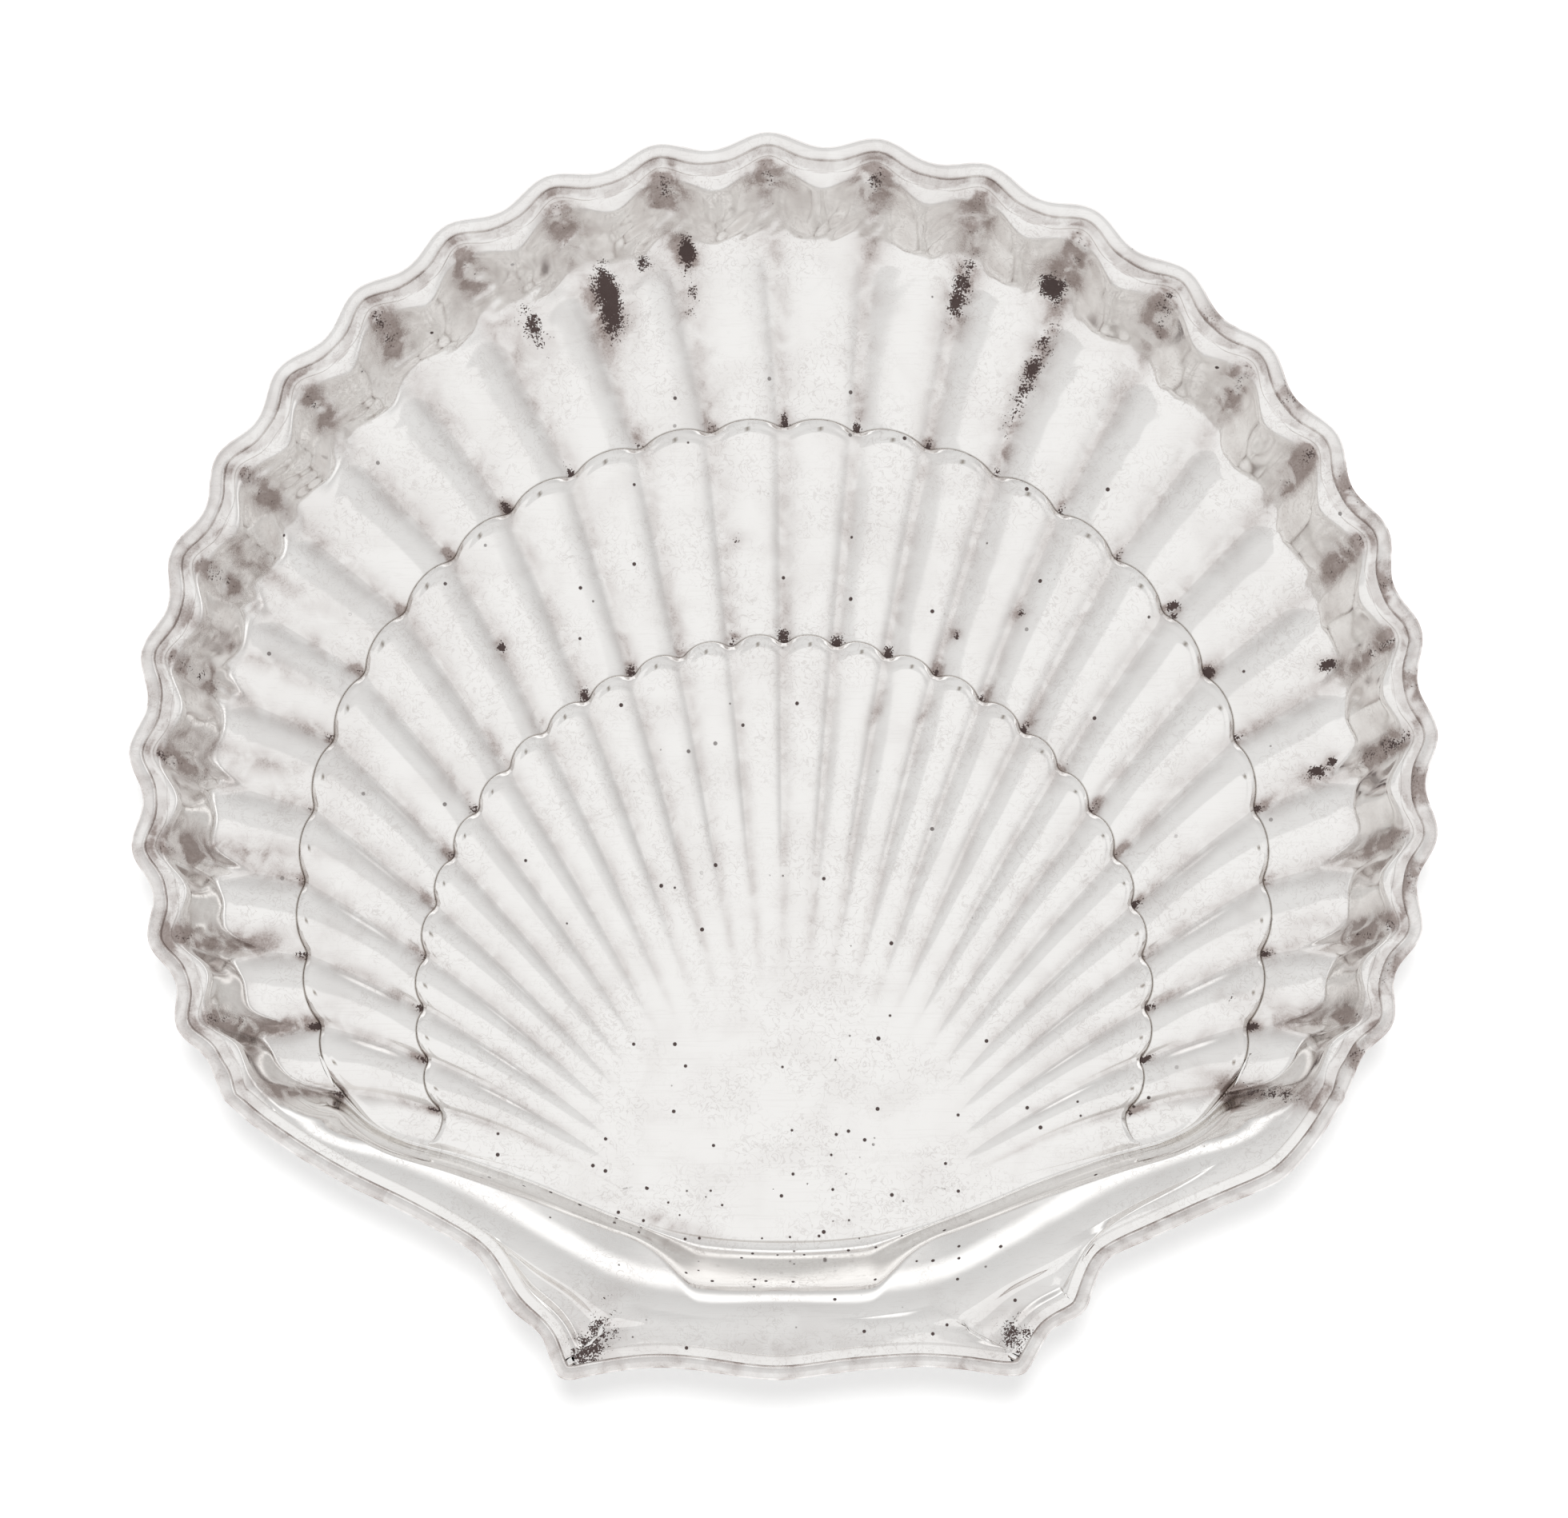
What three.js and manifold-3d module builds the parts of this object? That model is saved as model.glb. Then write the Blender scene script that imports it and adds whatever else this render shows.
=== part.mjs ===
// Scallop shell tray of raised silver, in millimetres, +Z up.
// The fan opens towards +Y and the hinge with its two ears lies at -Y.
// The tray stands on three ball feet. The origin is the middle of its box, on the standing plane.
import * as THREE from 'three';
import { mergeVertices } from 'three/addons/utils/BufferGeometryUtils.js';
import Module from 'manifold-3d';

// Sheet and heights
const SHEET = 1;
const DISH_DEPTH = 21.5;
const SEAT_GAP = 0.3;

// Fan: one flute lies between each pair of grooves, and groove 0 is on the centre line
const FLUTES = 26;
const COLUMNS_PER_FLUTE = 4;
const HALF_FLUTES = FLUTES / 2;
const CREST_ROUNDNESS = 2.3;

// Rim: an arc through its top on the centre line and the two shoulders of the hinge. It peaks at every groove
const RIM_REACH = 156.7;
const SHOULDER = [141.9, -89.5];
const RIM_SCALLOP = 3.6;

// Tiers: the flutes overhang two step lines like roof tiles. Each line is an arc through its top and its ends,
// given by how far these lie from the wall's foot
const OUTER_STEP_TOP = 53.6;
const OUTER_STEP_END = [20.8, -0.3];
const INNER_STEP_TOP = 108.4;
const INNER_STEP_END = [44.7, 3.7];
const STEP_DROP = 1.8;
const STEP_RUN = 1.8;
const FINGERTIP = 1.8;
const INNER_FLUTE_HEIGHT = 2.1;
const MIDDLE_FLUTE_HEIGHT = 2.6;
const OUTER_FLUTE_HEIGHT = 3.0;
const TIER_RISE = 1.6;

// Hub: the arc where the flutes run out into flat ground
const HUB_RADIUS = 41;
const HUB_CENTRE = -103;
const HUB_TURN = 96.85;
const GROUND_MIDDLE = [0, -98];

// Wall and flange. The wall's foot is an arc too, and lies this far inside the rim at its top and its ends
const WALL_FOOT_TOP = 18.3;
const WALL_FOOT_END = [11, -5.2];
const WALL_FOOT_FILLET = 4;
const FLANGE_WIDTH = 8.8;
const SHEET_EDGE_INSET = 0.6;
const SCOOP_FLUTES = 1.2;

// Border wire: a half-round wire soldered on the flange, flush with the outline
const WIRE_WIDTH = 3.6;
const WIRE_HEIGHT = 2.4;
const WIRE_SIDE = 0.8;
const WIRE_ARC_POINTS = 6;
const WIRE_CLEARANCE = 0.8;

// Feet: turned balls on thin solder pads
const BALL_RADIUS = 6.5;
const BALL_SEAT_RADIUS = 2.6;
const NECK_RADIUS = 3.4;
const NECK_LENGTH = 1.6;
const PAD_RADIUS = 8.5;
const PAD_THICKNESS = 1.8;
const PAD_CHAMFER = 0.9;
const PAD_BLANK_HEIGHT = 13;
const FOOT_SEGMENTS = 20;
const FOOT_PLACES = { left: [-72, 22], right: [72, 22], hinge: [0, -101] };

// Hinge outline from the left shoulder, past notch, ear and lower corner, to the right shoulder
const HINGE_EDGE = [
  [-133.2, -93.8], [-126.2, -98.8], [-118.6, -103.8], [-108.6, -109.5], [-99.4, -113.9], [-91.8, -117.7],
  [-80.4, -124.2], [-75.8, -127.8], [-72, -133.9], [-68, -140.5], [-61.2, -146.2], [-59, -150.8],
  [-57, -156.3], [-53.6, -158.1], [-47.4, -156.9], [-37.8, -155.4], [-30, -155], [-22.4, -155.6],
  [-16, -156.5], [-8, -157.7], [0, -158.1], [8, -157.2], [16.2, -156], [26.8, -155.2], [34.8, -154.8],
  [45.6, -155.6], [53.6, -156.9], [59.4, -156.7], [62, -153.6], [64.4, -149.2], [67, -145.4],
  [72.4, -142.7], [75.4, -140.1], [77, -135.5], [79.2, -130], [82.4, -126.8], [92.2, -122.4],
  [107.6, -115.3], [119.8, -110.3], [126, -106.5], [133.4, -98],
];

// Half lines across the hinge, from the last groove (place 0) to the centre line (place 1), mirrored
const HINGE_FOOT = [
  [0, -127.5, -82.5], [0.1, -115, -86.5], [0.2, -98, -93.5], [0.3, -80, -98.5], [0.4, -64, -105],
  [0.5, -52, -110], [0.65, -37, -115.8], [0.8, -22, -119.7], [1, 0, -121.3],
];
const HINGE_CREST = [
  [0, -131.5, -84.6], [0.1, -121.5, -91.8], [0.2, -105, -101.7], [0.3, -88, -110], [0.4, -69, -120.5],
  [0.5, -55, -128], [0.65, -38.5, -136.5], [0.8, -24, -141.8], [1, 0, -145],
];
const EAR_HOLLOW = 2.2;
const EAR_PLACE = 0.55;
const EAR_SPREAD = 0.16;

// Heights that follow: the foot's, the flat floor's and the flange's
const BALL_CENTRE = Math.sqrt(BALL_RADIUS ** 2 - BALL_SEAT_RADIUS ** 2);
const NECK_START = BALL_CENTRE + Math.sqrt(BALL_RADIUS ** 2 - NECK_RADIUS ** 2);
const FOOT_HEIGHT = NECK_START + NECK_LENGTH;
const FLOOR_HEIGHT = FOOT_HEIGHT + PAD_THICKNESS + SEAT_GAP + SHEET;
const RIM_TOP = FLOOR_HEIGHT + DISH_DEPTH;

const radians = (degrees) => degrees * Math.PI / 180;
const mix = (a, b, t) => a + (b - a) * t;
const mix2 = (a, b, t) => [mix(a[0], b[0], t), mix(a[1], b[1], t)];
const ease = (t) => {
  const s = Math.min(Math.max(t, 0), 1);
  return s * s * (3 - 2 * s);
};

// How far a flute stands up at groove coordinate u: 0 in a groove and 1 on the crest
const fluteForm = (u) => 1 - Math.abs(2 * (u - Math.floor(u)) - 1) ** CREST_ROUNDNESS;

// An arc of the fan through a top on the centre line and an end at the last groove. The grooves divide it
// evenly, or crowd towards its ends and lean a little to the left
function arcRow(top, [x, y], crowd = 0, lean = 0) {
  const centre = (top ** 2 - x ** 2 - y ** 2) / (2 * (top - y));
  const turn = THREE.MathUtils.radToDeg(Math.atan2(x, y - centre));
  const pitch = turn / HALF_FLUTES + crowd * HALF_FLUTES ** 2;
  return { radius: top - centre, centre, fan: { pitch, crowd, lean } };
}

const insideOf = ([x, y], [dx, dy]) => [x - dx, y - dy];
const RIM = arcRow(RIM_REACH, SHOULDER, 0.0045, 1.5);
const WALL_CREST = { ...RIM, radius: RIM.radius - FLANGE_WIDTH };
const FOOT_TOP = RIM_REACH - WALL_FOOT_TOP;
const FOOT_END = insideOf(SHOULDER, WALL_FOOT_END);
const WALL_FOOT = arcRow(FOOT_TOP, FOOT_END, 0.0017, 0.7);
const OUTER_STEP = arcRow(FOOT_TOP - OUTER_STEP_TOP, insideOf(FOOT_END, OUTER_STEP_END));
const INNER_STEP = arcRow(FOOT_TOP - INNER_STEP_TOP, insideOf(FOOT_END, INNER_STEP_END));
const HUB = { radius: HUB_RADIUS, centre: HUB_CENTRE, fan: { pitch: HUB_TURN / HALF_FLUTES, crowd: 0, lean: 0 } };

function fanPoint(row, u) {
  const { pitch, crowd, lean } = row.fan;
  const turn = radians(u * (pitch - crowd * u * u) - lean * (1 - (u / HALF_FLUTES) ** 2));
  const radius = row.radius - row.inward * fluteForm(u);
  return [radius * Math.sin(turn), row.centre + radius * Math.cos(turn)];
}

function between(a, b, t, extra) {
  return {
    radius: mix(a.radius, b.radius, t),
    centre: mix(a.centre, b.centre, t),
    fan: {
      pitch: mix(a.fan.pitch, b.fan.pitch, t),
      crowd: mix(a.fan.crowd, b.fan.crowd, t),
      lean: mix(a.fan.lean, b.fan.lean, t),
    },
    ...extra,
  };
}

// Floor rows run from the hub to the wall's foot and lie in the fan alone. height is the groove's, rise the
// flute's above it, and inward how far the crest lies inside the groove line (a fingertip reaches outward).
function fanFloorRows() {
  const [hub, inner, outer] = [HUB, INNER_STEP, OUTER_STEP];
  const innerFoot = { ...inner, radius: inner.radius + STEP_RUN };
  const outerFoot = { ...outer, radius: outer.radius + STEP_RUN };
  const filletStart = between(outer, WALL_FOOT, 1 - WALL_FOOT_FILLET / (WALL_FOOT.radius - outer.radius));
  const innerLow = TIER_RISE - STEP_DROP;
  const outerLow = innerLow + TIER_RISE - STEP_DROP;
  const floor = (row, height, rise, inward) => ({ ...row, height, rise, inward });
  return [
    floor(hub, 0, 0, 0),
    floor(between(hub, inner, 0.25), 0.15 * TIER_RISE, 0.35 * INNER_FLUTE_HEIGHT, 0),
    floor(between(hub, inner, 0.6), 0.5 * TIER_RISE, 0.85 * INNER_FLUTE_HEIGHT, 0),
    floor(inner, TIER_RISE, INNER_FLUTE_HEIGHT, -FINGERTIP),
    floor(innerFoot, innerLow, INNER_FLUTE_HEIGHT, -FINGERTIP),
    floor(between(inner, outer, 0.5), innerLow + 0.4 * TIER_RISE, MIDDLE_FLUTE_HEIGHT, -0.4 * FINGERTIP),
    floor(outer, innerLow + TIER_RISE, MIDDLE_FLUTE_HEIGHT, -FINGERTIP),
    floor(outerFoot, outerLow, MIDDLE_FLUTE_HEIGHT, -FINGERTIP),
    floor(between(outer, WALL_FOOT, 0.45), outerLow + 0.3 * TIER_RISE, OUTER_FLUTE_HEIGHT, 0),
    floor(filletStart, outerLow + 0.7 * TIER_RISE, OUTER_FLUTE_HEIGHT, 0.2 * RIM_SCALLOP),
  ];
}

// Wall rows run all round, from the foot line up. across is the share of the wall's plan width and up of its
// height, and the flutes run out on the way, while the scallops of the rim come in.
const WALL_ROWS = [
  { across: 0, up: 0.13, hingeUp: 0.01, rise: 0.55, scallop: 0.67 },
  { across: 0.3, up: 0.42, hingeUp: 0.26, rise: 0.2, scallop: 0.85 },
  { across: 0.65, up: 0.78, hingeUp: 0.7, rise: 0, scallop: 1 },
];

// Smooth line through the points of a half line. place runs 0 to 2, and its second half is mirrored.
function halfLine(line, place) {
  const reach = Math.min(place, 2 - place);
  const side = place <= 1 ? 1 : -1;
  const before = line[line.length - 2];
  const points = [...line, [2 - before[0], -before[1], before[2]]];
  const i = Math.min(line.findLastIndex((point) => point[0] <= reach), line.length - 2);
  const slope = (k, axis) => {
    const [low, high] = [points[Math.max(k - 1, 0)], points[k + 1]];
    return (high[axis] - low[axis]) / (high[0] - low[0]);
  };
  const [a, b] = [points[i], points[i + 1]];
  const span = b[0] - a[0];
  const t = (reach - a[0]) / span;
  const value = (axis) => (
    (2 * t ** 3 - 3 * t ** 2 + 1) * a[axis] + (t ** 3 - 2 * t ** 2 + t) * span * slope(i, axis)
    + (3 * t ** 2 - 2 * t ** 3) * b[axis] + (t ** 3 - t ** 2) * span * slope(i + 1, axis)
  );
  return [side * value(1), value(2)];
}

// Moves a closed plan line inward by a distance, each corner along its own mitre
function insetLine(points, distance) {
  return points.map((point, i) => {
    const before = points[(i + points.length - 1) % points.length];
    const after = points[(i + 1) % points.length];
    const [ax, ay] = [point[0] - before[0], point[1] - before[1]];
    const [bx, by] = [after[0] - point[0], after[1] - point[1]];
    const [al, bl] = [Math.hypot(ax, ay), Math.hypot(bx, by)];
    const normal = [ay / al + by / bl, -ax / al - bx / bl];
    const scale = distance * 2 / (normal[0] ** 2 + normal[1] ** 2);
    return [point[0] + normal[0] * scale, point[1] + normal[1] * scale];
  });
}

// Columns run clockwise round the tray, first across the fan and then back across the hinge
const fanColumns = [];
for (let i = 0; i <= FLUTES * COLUMNS_PER_FLUTE; i += 1) {
  fanColumns.push(i / COLUMNS_PER_FLUTE - HALF_FLUTES);
}
const hingeColumns = HINGE_EDGE.map((_, i) => 2 - 2 * (i + 1) / (HINGE_EDGE.length + 1));

function outline() {
  return [...fanColumns.map((u) => fanPoint({ ...RIM, inward: RIM_SCALLOP }, u)), ...[...HINGE_EDGE].reverse()];
}

// How much of the fan's upright wall form there is at a groove coordinate: it turns into the hinge's scoop
const uprightShare = (u) => ease((HALF_FLUTES - Math.abs(u)) / SCOOP_FLUTES);

function floorLine(row) {
  return fanColumns.map((u) => {
    const [x, y] = fanPoint(row, u);
    return [x, y, FLOOR_HEIGHT + row.height + row.rise * fluteForm(u)];
  });
}

function wallLine(share) {
  const row = between(WALL_FOOT, WALL_CREST, share.across, { inward: share.scallop * RIM_SCALLOP });
  const fanLine = fanColumns.map((u) => {
    const [x, y] = fanPoint(row, u);
    const groove = mix(share.hingeUp, share.up, uprightShare(u)) * DISH_DEPTH;
    return [x, y, FLOOR_HEIGHT + groove + share.rise * OUTER_FLUTE_HEIGHT * fluteForm(u)];
  });
  const hingeLine = hingeColumns.map((place) => {
    const [x, y] = mix2(halfLine(HINGE_FOOT, place), halfLine(HINGE_CREST, place), share.across);
    return [x, y, FLOOR_HEIGHT + share.hingeUp * DISH_DEPTH];
  });
  return [...fanLine, ...hingeLine];
}

// The flange from the wall's crest to the sheet's edge: level under the wire, and hollowed in the ears
function flangeLines() {
  const crest = [
    ...fanColumns.map((u) => fanPoint({ ...WALL_CREST, inward: RIM_SCALLOP }, u)),
    ...hingeColumns.map((place) => halfLine(HINGE_CREST, place)),
  ];
  const hollows = [
    ...fanColumns.map(() => 0),
    ...hingeColumns.map((place) => {
      const reach = Math.min(place, 2 - place);
      return EAR_HOLLOW * Math.exp(-(((reach - EAR_PLACE) / EAR_SPREAD) ** 2));
    }),
  ];
  const edge = insetLine(outline(), SHEET_EDGE_INSET);
  const band = insetLine(outline(), WIRE_WIDTH + WIRE_CLEARANCE);
  const level = ([x, y]) => [x, y, RIM_TOP];
  return [
    crest.map(level),
    crest.map((point, i) => [...mix2(point, band[i], 0.5), RIM_TOP - hollows[i]]),
    band.map(level),
    edge.map(level),
  ];
}

function meshOf(positions, triangles) {
  const geometry = new THREE.BufferGeometry();
  geometry.setAttribute('position', new THREE.Float32BufferAttribute(positions.flat(), 3));
  geometry.setIndex(triangles.flat());
  return geometry;
}

// The upper side's triangles: the fan's floor, the wall and flange all round, and the flat ground behind,
// whose middle is the last vertex
function upperTriangles(positions, floorCount, ringCount) {
  const triangles = [];
  const width = fanColumns.length;
  const ring = width + hingeColumns.length;
  const ringStart = floorCount * width;
  const floorAt = (row, column) => (row < floorCount ? row * width + column : ringStart + column);
  const ringAt = (row, column) => ringStart + row * ring + (column % ring);
  const apart = (a, b) => Math.hypot(...[0, 1, 2].map((axis) => positions[a][axis] - positions[b][axis]));
  const quad = (a, b, c, d) => {
    if (apart(a, c) <= apart(b, d)) {
      triangles.push([a, b, c], [a, c, d]);
    } else {
      triangles.push([a, b, d], [b, c, d]);
    }
  };
  for (let i = 0; i < floorCount; i += 1) {
    for (let j = 0; j + 1 < width; j += 1) {
      quad(floorAt(i, j), floorAt(i, j + 1), floorAt(i + 1, j + 1), floorAt(i + 1, j));
    }
  }
  for (let i = 0; i + 1 < ringCount; i += 1) {
    for (let j = 0; j < ring; j += 1) {
      quad(ringAt(i, j), ringAt(i, j + 1), ringAt(i + 1, j + 1), ringAt(i + 1, j));
    }
  }

  const groundMiddle = positions.length - 1;
  for (let j = 0; j + 1 < width; j += 1) {
    triangles.push([groundMiddle, floorAt(0, j + 1), floorAt(0, j)]);
  }
  const ground = [groundMiddle];
  for (let i = 0; i < floorCount; i += 1) {
    ground.push(floorAt(i, width - 1));
  }
  for (let j = width - 1; j <= ring; j += 1) {
    ground.push(ringAt(0, j));
  }
  for (let i = floorCount - 1; i >= 0; i -= 1) {
    ground.push(floorAt(i, 0));
  }
  ground.reverse();
  const contour = ground.map((index) => new THREE.Vector2(positions[index][0], positions[index][1]));
  THREE.ShapeUtils.triangulateShape(contour, []).forEach((corners) => {
    triangles.push(corners.map((corner) => ground[corner]));
  });
  return triangles;
}

// Moves each vertex back along its mitred normal, so that a sheet keeps its thickness on the slopes
function offsetVertices(positions, triangles, distance) {
  const sums = positions.map(() => new THREE.Vector3());
  const faces = triangles.map((triangle) => {
    const [a, b, c] = triangle.map((index) => new THREE.Vector3(...positions[index]));
    return b.sub(a).cross(c.sub(a)).normalize();
  });
  triangles.forEach((triangle, f) => {
    triangle.forEach((index) => sums[index].add(faces[f]));
  });
  const normals = sums.map((sum) => sum.normalize());
  const stretch = positions.map(() => 1);
  triangles.forEach((triangle, f) => {
    triangle.forEach((index) => {
      stretch[index] = Math.min(stretch[index], Math.max(normals[index].dot(faces[f]), 0.6));
    });
  });
  return positions.map((position, i) => {
    const reach = distance * 2 / (1 + stretch[i]);
    return new THREE.Vector3(...position).addScaledVector(normals[i], -reach).toArray();
  });
}

// The sheet between an upper and a lower side that share one set of triangles
function sheetGeometry(upper, lower, top) {
  const shift = upper.length;
  const bottom = top.map(([a, b, c]) => [a + shift, c + shift, b + shift]);
  const edge = [];
  const ring = fanColumns.length + hingeColumns.length;
  const at = (column) => shift - 1 - ring + (column % ring);
  for (let j = 0; j < ring; j += 1) {
    edge.push([at(j), at(j + 1), at(j + 1) + shift]);
    edge.push([at(j), at(j + 1) + shift, at(j) + shift]);
  }
  return meshOf([...upper, ...lower], [...top, ...bottom, ...edge]);
}

const floorRows = fanFloorRows().map(floorLine);
const ringRows = [...WALL_ROWS.map(wallLine), ...flangeLines()];
const upperSide = [...[...floorRows, ...ringRows].flat(), [...GROUND_MIDDLE, FLOOR_HEIGHT]];
const upperFaces = upperTriangles(upperSide, floorRows.length, ringRows.length);
const lowerSide = offsetVertices(upperSide, upperFaces, SHEET);
const bodyGeometry = sheetGeometry(upperSide, lowerSide, upperFaces);

// Half-round wire: a flat base on the flange and an arch of points over it
function wireGeometry() {
  const rings = [insetLine(outline(), SHEET_EDGE_INSET).map(([x, y]) => [x, y, RIM_TOP])];
  for (let i = 0; i < WIRE_ARC_POINTS; i += 1) {
    const turn = Math.PI * i / (WIRE_ARC_POINTS - 1);
    const inset = WIRE_WIDTH * (1 - Math.cos(turn)) / 2;
    const height = mix(WIRE_SIDE, WIRE_HEIGHT, Math.sin(turn));
    rings.push(insetLine(outline(), inset).map(([x, y]) => [x, y, RIM_TOP + height]));
  }
  rings.push(insetLine(outline(), WIRE_WIDTH).map(([x, y]) => [x, y, RIM_TOP]));
  const triangles = [];
  const columns = rings[0].length;
  const at = (ring, column) => (ring % rings.length) * columns + (column % columns);
  for (let i = 0; i < rings.length; i += 1) {
    for (let j = 0; j < columns; j += 1) {
      triangles.push([at(i, j), at(i + 1, j), at(i + 1, j + 1)]);
      triangles.push([at(i, j), at(i + 1, j + 1), at(i, j + 1)]);
    }
  }
  return meshOf(rings.flat(), triangles);
}

const wasm = await Module();
wasm.setup();

function solidOf(geometry) {
  const plain = geometry.clone();
  plain.deleteAttribute('normal');
  plain.deleteAttribute('uv');
  const merged = mergeVertices(plain, 1e-4);
  return new wasm.Manifold(new wasm.Mesh({
    numProp: 3,
    vertProperties: new Float32Array(merged.attributes.position.array),
    triVerts: new Uint32Array(merged.index.array),
  }));
}

function geometryOf(solid) {
  const mesh = solid.getMesh();
  const geometry = new THREE.BufferGeometry();
  geometry.setAttribute('position', new THREE.BufferAttribute(mesh.vertProperties, 3));
  geometry.setIndex(new THREE.BufferAttribute(mesh.triVerts, 1));
  return geometry;
}

// Everything from a seat's gap below the sheet's underside upward, which trims the pad blanks to the flutes
function trimmingSolid() {
  const raised = lowerSide.map(([x, y, z]) => [x, y, z + 2 * PAD_BLANK_HEIGHT]);
  const lowered = lowerSide.map(([x, y, z]) => [x, y, z - SEAT_GAP]);
  return solidOf(sheetGeometry(raised, lowered, upperFaces));
}

// A turned shape from [radius, height] points that start and end on the axis
function turned(profile) {
  const points = profile.map(([radius, height]) => new THREE.Vector2(radius, height));
  const geometry = new THREE.LatheGeometry(points, FOOT_SEGMENTS);
  return geometry.rotateX(Math.PI / 2);
}

function footGeometry() {
  const profile = [[0, 0], [BALL_SEAT_RADIUS, 0]];
  const start = Math.asin(BALL_SEAT_RADIUS / BALL_RADIUS);
  const end = Math.PI - Math.asin(NECK_RADIUS / BALL_RADIUS);
  const steps = 9;
  for (let i = 1; i <= steps; i += 1) {
    const turn = mix(start, end, i / steps);
    profile.push([BALL_RADIUS * Math.sin(turn), BALL_CENTRE - BALL_RADIUS * Math.cos(turn)]);
  }
  profile.push([NECK_RADIUS, FOOT_HEIGHT], [0, FOOT_HEIGHT]);
  return turned(profile);
}

function padGeometry([x, y], trim) {
  const profile = [
    [0, 0], [PAD_RADIUS - PAD_CHAMFER, 0], [PAD_RADIUS, PAD_CHAMFER],
    [PAD_RADIUS, PAD_BLANK_HEIGHT], [0, PAD_BLANK_HEIGHT],
  ];
  const blank = turned(profile).translate(x, y, FOOT_HEIGHT);
  return geometryOf(solidOf(blank).subtract(trim));
}

const silver = (name, roughness) => new THREE.MeshStandardMaterial({
  name, color: 0xd9d5cf, metalness: 1, roughness,
});

function named(name, geometry, material) {
  const mesh = new THREE.Mesh(geometry, material);
  mesh.name = name;
  return mesh;
}

const tray = new THREE.Group();
tray.add(named('shell_body', bodyGeometry, silver('sheet_silver', 0.22)));
tray.add(named('border_wire', wireGeometry(), silver('wire_silver', 0.16)));

const feet = new THREE.Group();
const trim = trimmingSolid();
Object.entries(FOOT_PLACES).forEach(([side, place]) => {
  feet.add(named(`foot_pad_${side}`, padGeometry(place, trim), silver('pad_silver', 0.35)));
  const foot = named(`foot_${side}`, footGeometry(), silver('foot_silver', 0.2));
  foot.position.set(place[0], place[1], 0);
  feet.add(foot);
});
tray.add(feet);

// The origin is the middle of the outline's box
const extent = new THREE.Box2().setFromPoints(outline().map(([x, y]) => new THREE.Vector2(x, y)));
const middle = extent.getCenter(new THREE.Vector2());
tray.position.set(-middle.x, -middle.y, 0);

export default tray;
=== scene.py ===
"""Scallop shell tray of raised silver, dressed over its construction model.

The sheet, its border wire, the pads and the ball feet are fine meshes worked out from a few real sizes.
Sizes are in millimetres, in plan about the fan's own centre line and in height above the ground of the dish.
They are moved to the model's frame, which is in metres, when a mesh is made.
A pair of values that fades something in, with grow(), is where the fade starts and how far it goes.
"""

import math

import bpy
import numpy as np
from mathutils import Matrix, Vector
from mathutils.bvhtree import BVHTree


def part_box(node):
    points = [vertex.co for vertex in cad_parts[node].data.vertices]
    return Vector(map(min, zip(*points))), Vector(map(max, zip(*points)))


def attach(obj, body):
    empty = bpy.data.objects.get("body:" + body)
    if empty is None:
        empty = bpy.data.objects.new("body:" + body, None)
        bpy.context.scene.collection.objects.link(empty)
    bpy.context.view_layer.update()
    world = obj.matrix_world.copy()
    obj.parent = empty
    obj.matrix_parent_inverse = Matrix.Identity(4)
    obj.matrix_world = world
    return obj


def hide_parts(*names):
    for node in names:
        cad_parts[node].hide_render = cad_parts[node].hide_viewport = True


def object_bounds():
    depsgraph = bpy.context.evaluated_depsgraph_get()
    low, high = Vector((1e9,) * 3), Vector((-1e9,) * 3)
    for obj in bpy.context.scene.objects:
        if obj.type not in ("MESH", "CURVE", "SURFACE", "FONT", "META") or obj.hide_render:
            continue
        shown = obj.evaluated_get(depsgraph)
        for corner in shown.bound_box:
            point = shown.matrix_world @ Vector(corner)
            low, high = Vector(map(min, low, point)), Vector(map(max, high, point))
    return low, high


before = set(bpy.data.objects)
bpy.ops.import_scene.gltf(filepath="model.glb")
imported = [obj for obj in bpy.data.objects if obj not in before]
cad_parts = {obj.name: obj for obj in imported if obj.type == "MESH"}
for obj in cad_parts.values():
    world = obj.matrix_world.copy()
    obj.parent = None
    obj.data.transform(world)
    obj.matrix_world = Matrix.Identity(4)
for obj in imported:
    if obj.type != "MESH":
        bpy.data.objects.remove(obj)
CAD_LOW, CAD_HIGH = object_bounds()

MM = 0.001

# Fan: one flute lies between each pair of grooves, and groove 0 is on the centre line. The fillet is a share
# of half a flute, and the half pitch is the distance from a groove to a crest at the rim
HALF_FLUTES = 13
COLUMNS_PER_FLUTE = 30
HINGE_COLUMNS = 230
CREST_ROUNDNESS = 2.2
GROOVE_FILLET = 0.2
HALF_PITCH = 9.0

# Arcs of the fan: the rim and the steps run through a top on the centre line and an end at the last groove.
# The rim's grooves crowd together towards the ends and lean to one side in the middle, both in degrees
RIM_REACH = 156.7
SHOULDER = (141.9, -89.5)
RIM_CROWD = 0.0045
RIM_LEAN = 1.5
RIM_SCALLOP = 3.6
END_SCALLOP = 0.75
FLANGE_WIDTH = 7.4
CREST_SCALLOP = 5.0
OUTER_STEP_TOP = 84.8
OUTER_STEP_END = (110.1, -84.0)
INNER_STEP_TOP = 30.0
INNER_STEP_END = (86.2, -88.0)
HUB_RADIUS = 41.0
HUB_CENTRE = -103.0
HUB_TURN = 96.85

# Heights: a tier rises, more so near its lip, bends and rolls over there, and drops to the next tier
SHEET = 1.0
DISH_DEPTH = 21.5
TIER_RISE = 1.6
STEP_DROP = 2.0
TIP_LIFT = 1.2
TIP_REACH = 12.0
TIP_BEND = 0.05
TIP_LENGTH = 4.2
LIP_RADIUS = 0.2
LIP_BEVEL = 0.52
LIP_WIDTH = 1.25
LIP_SOFTNESS = 0.06

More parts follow.
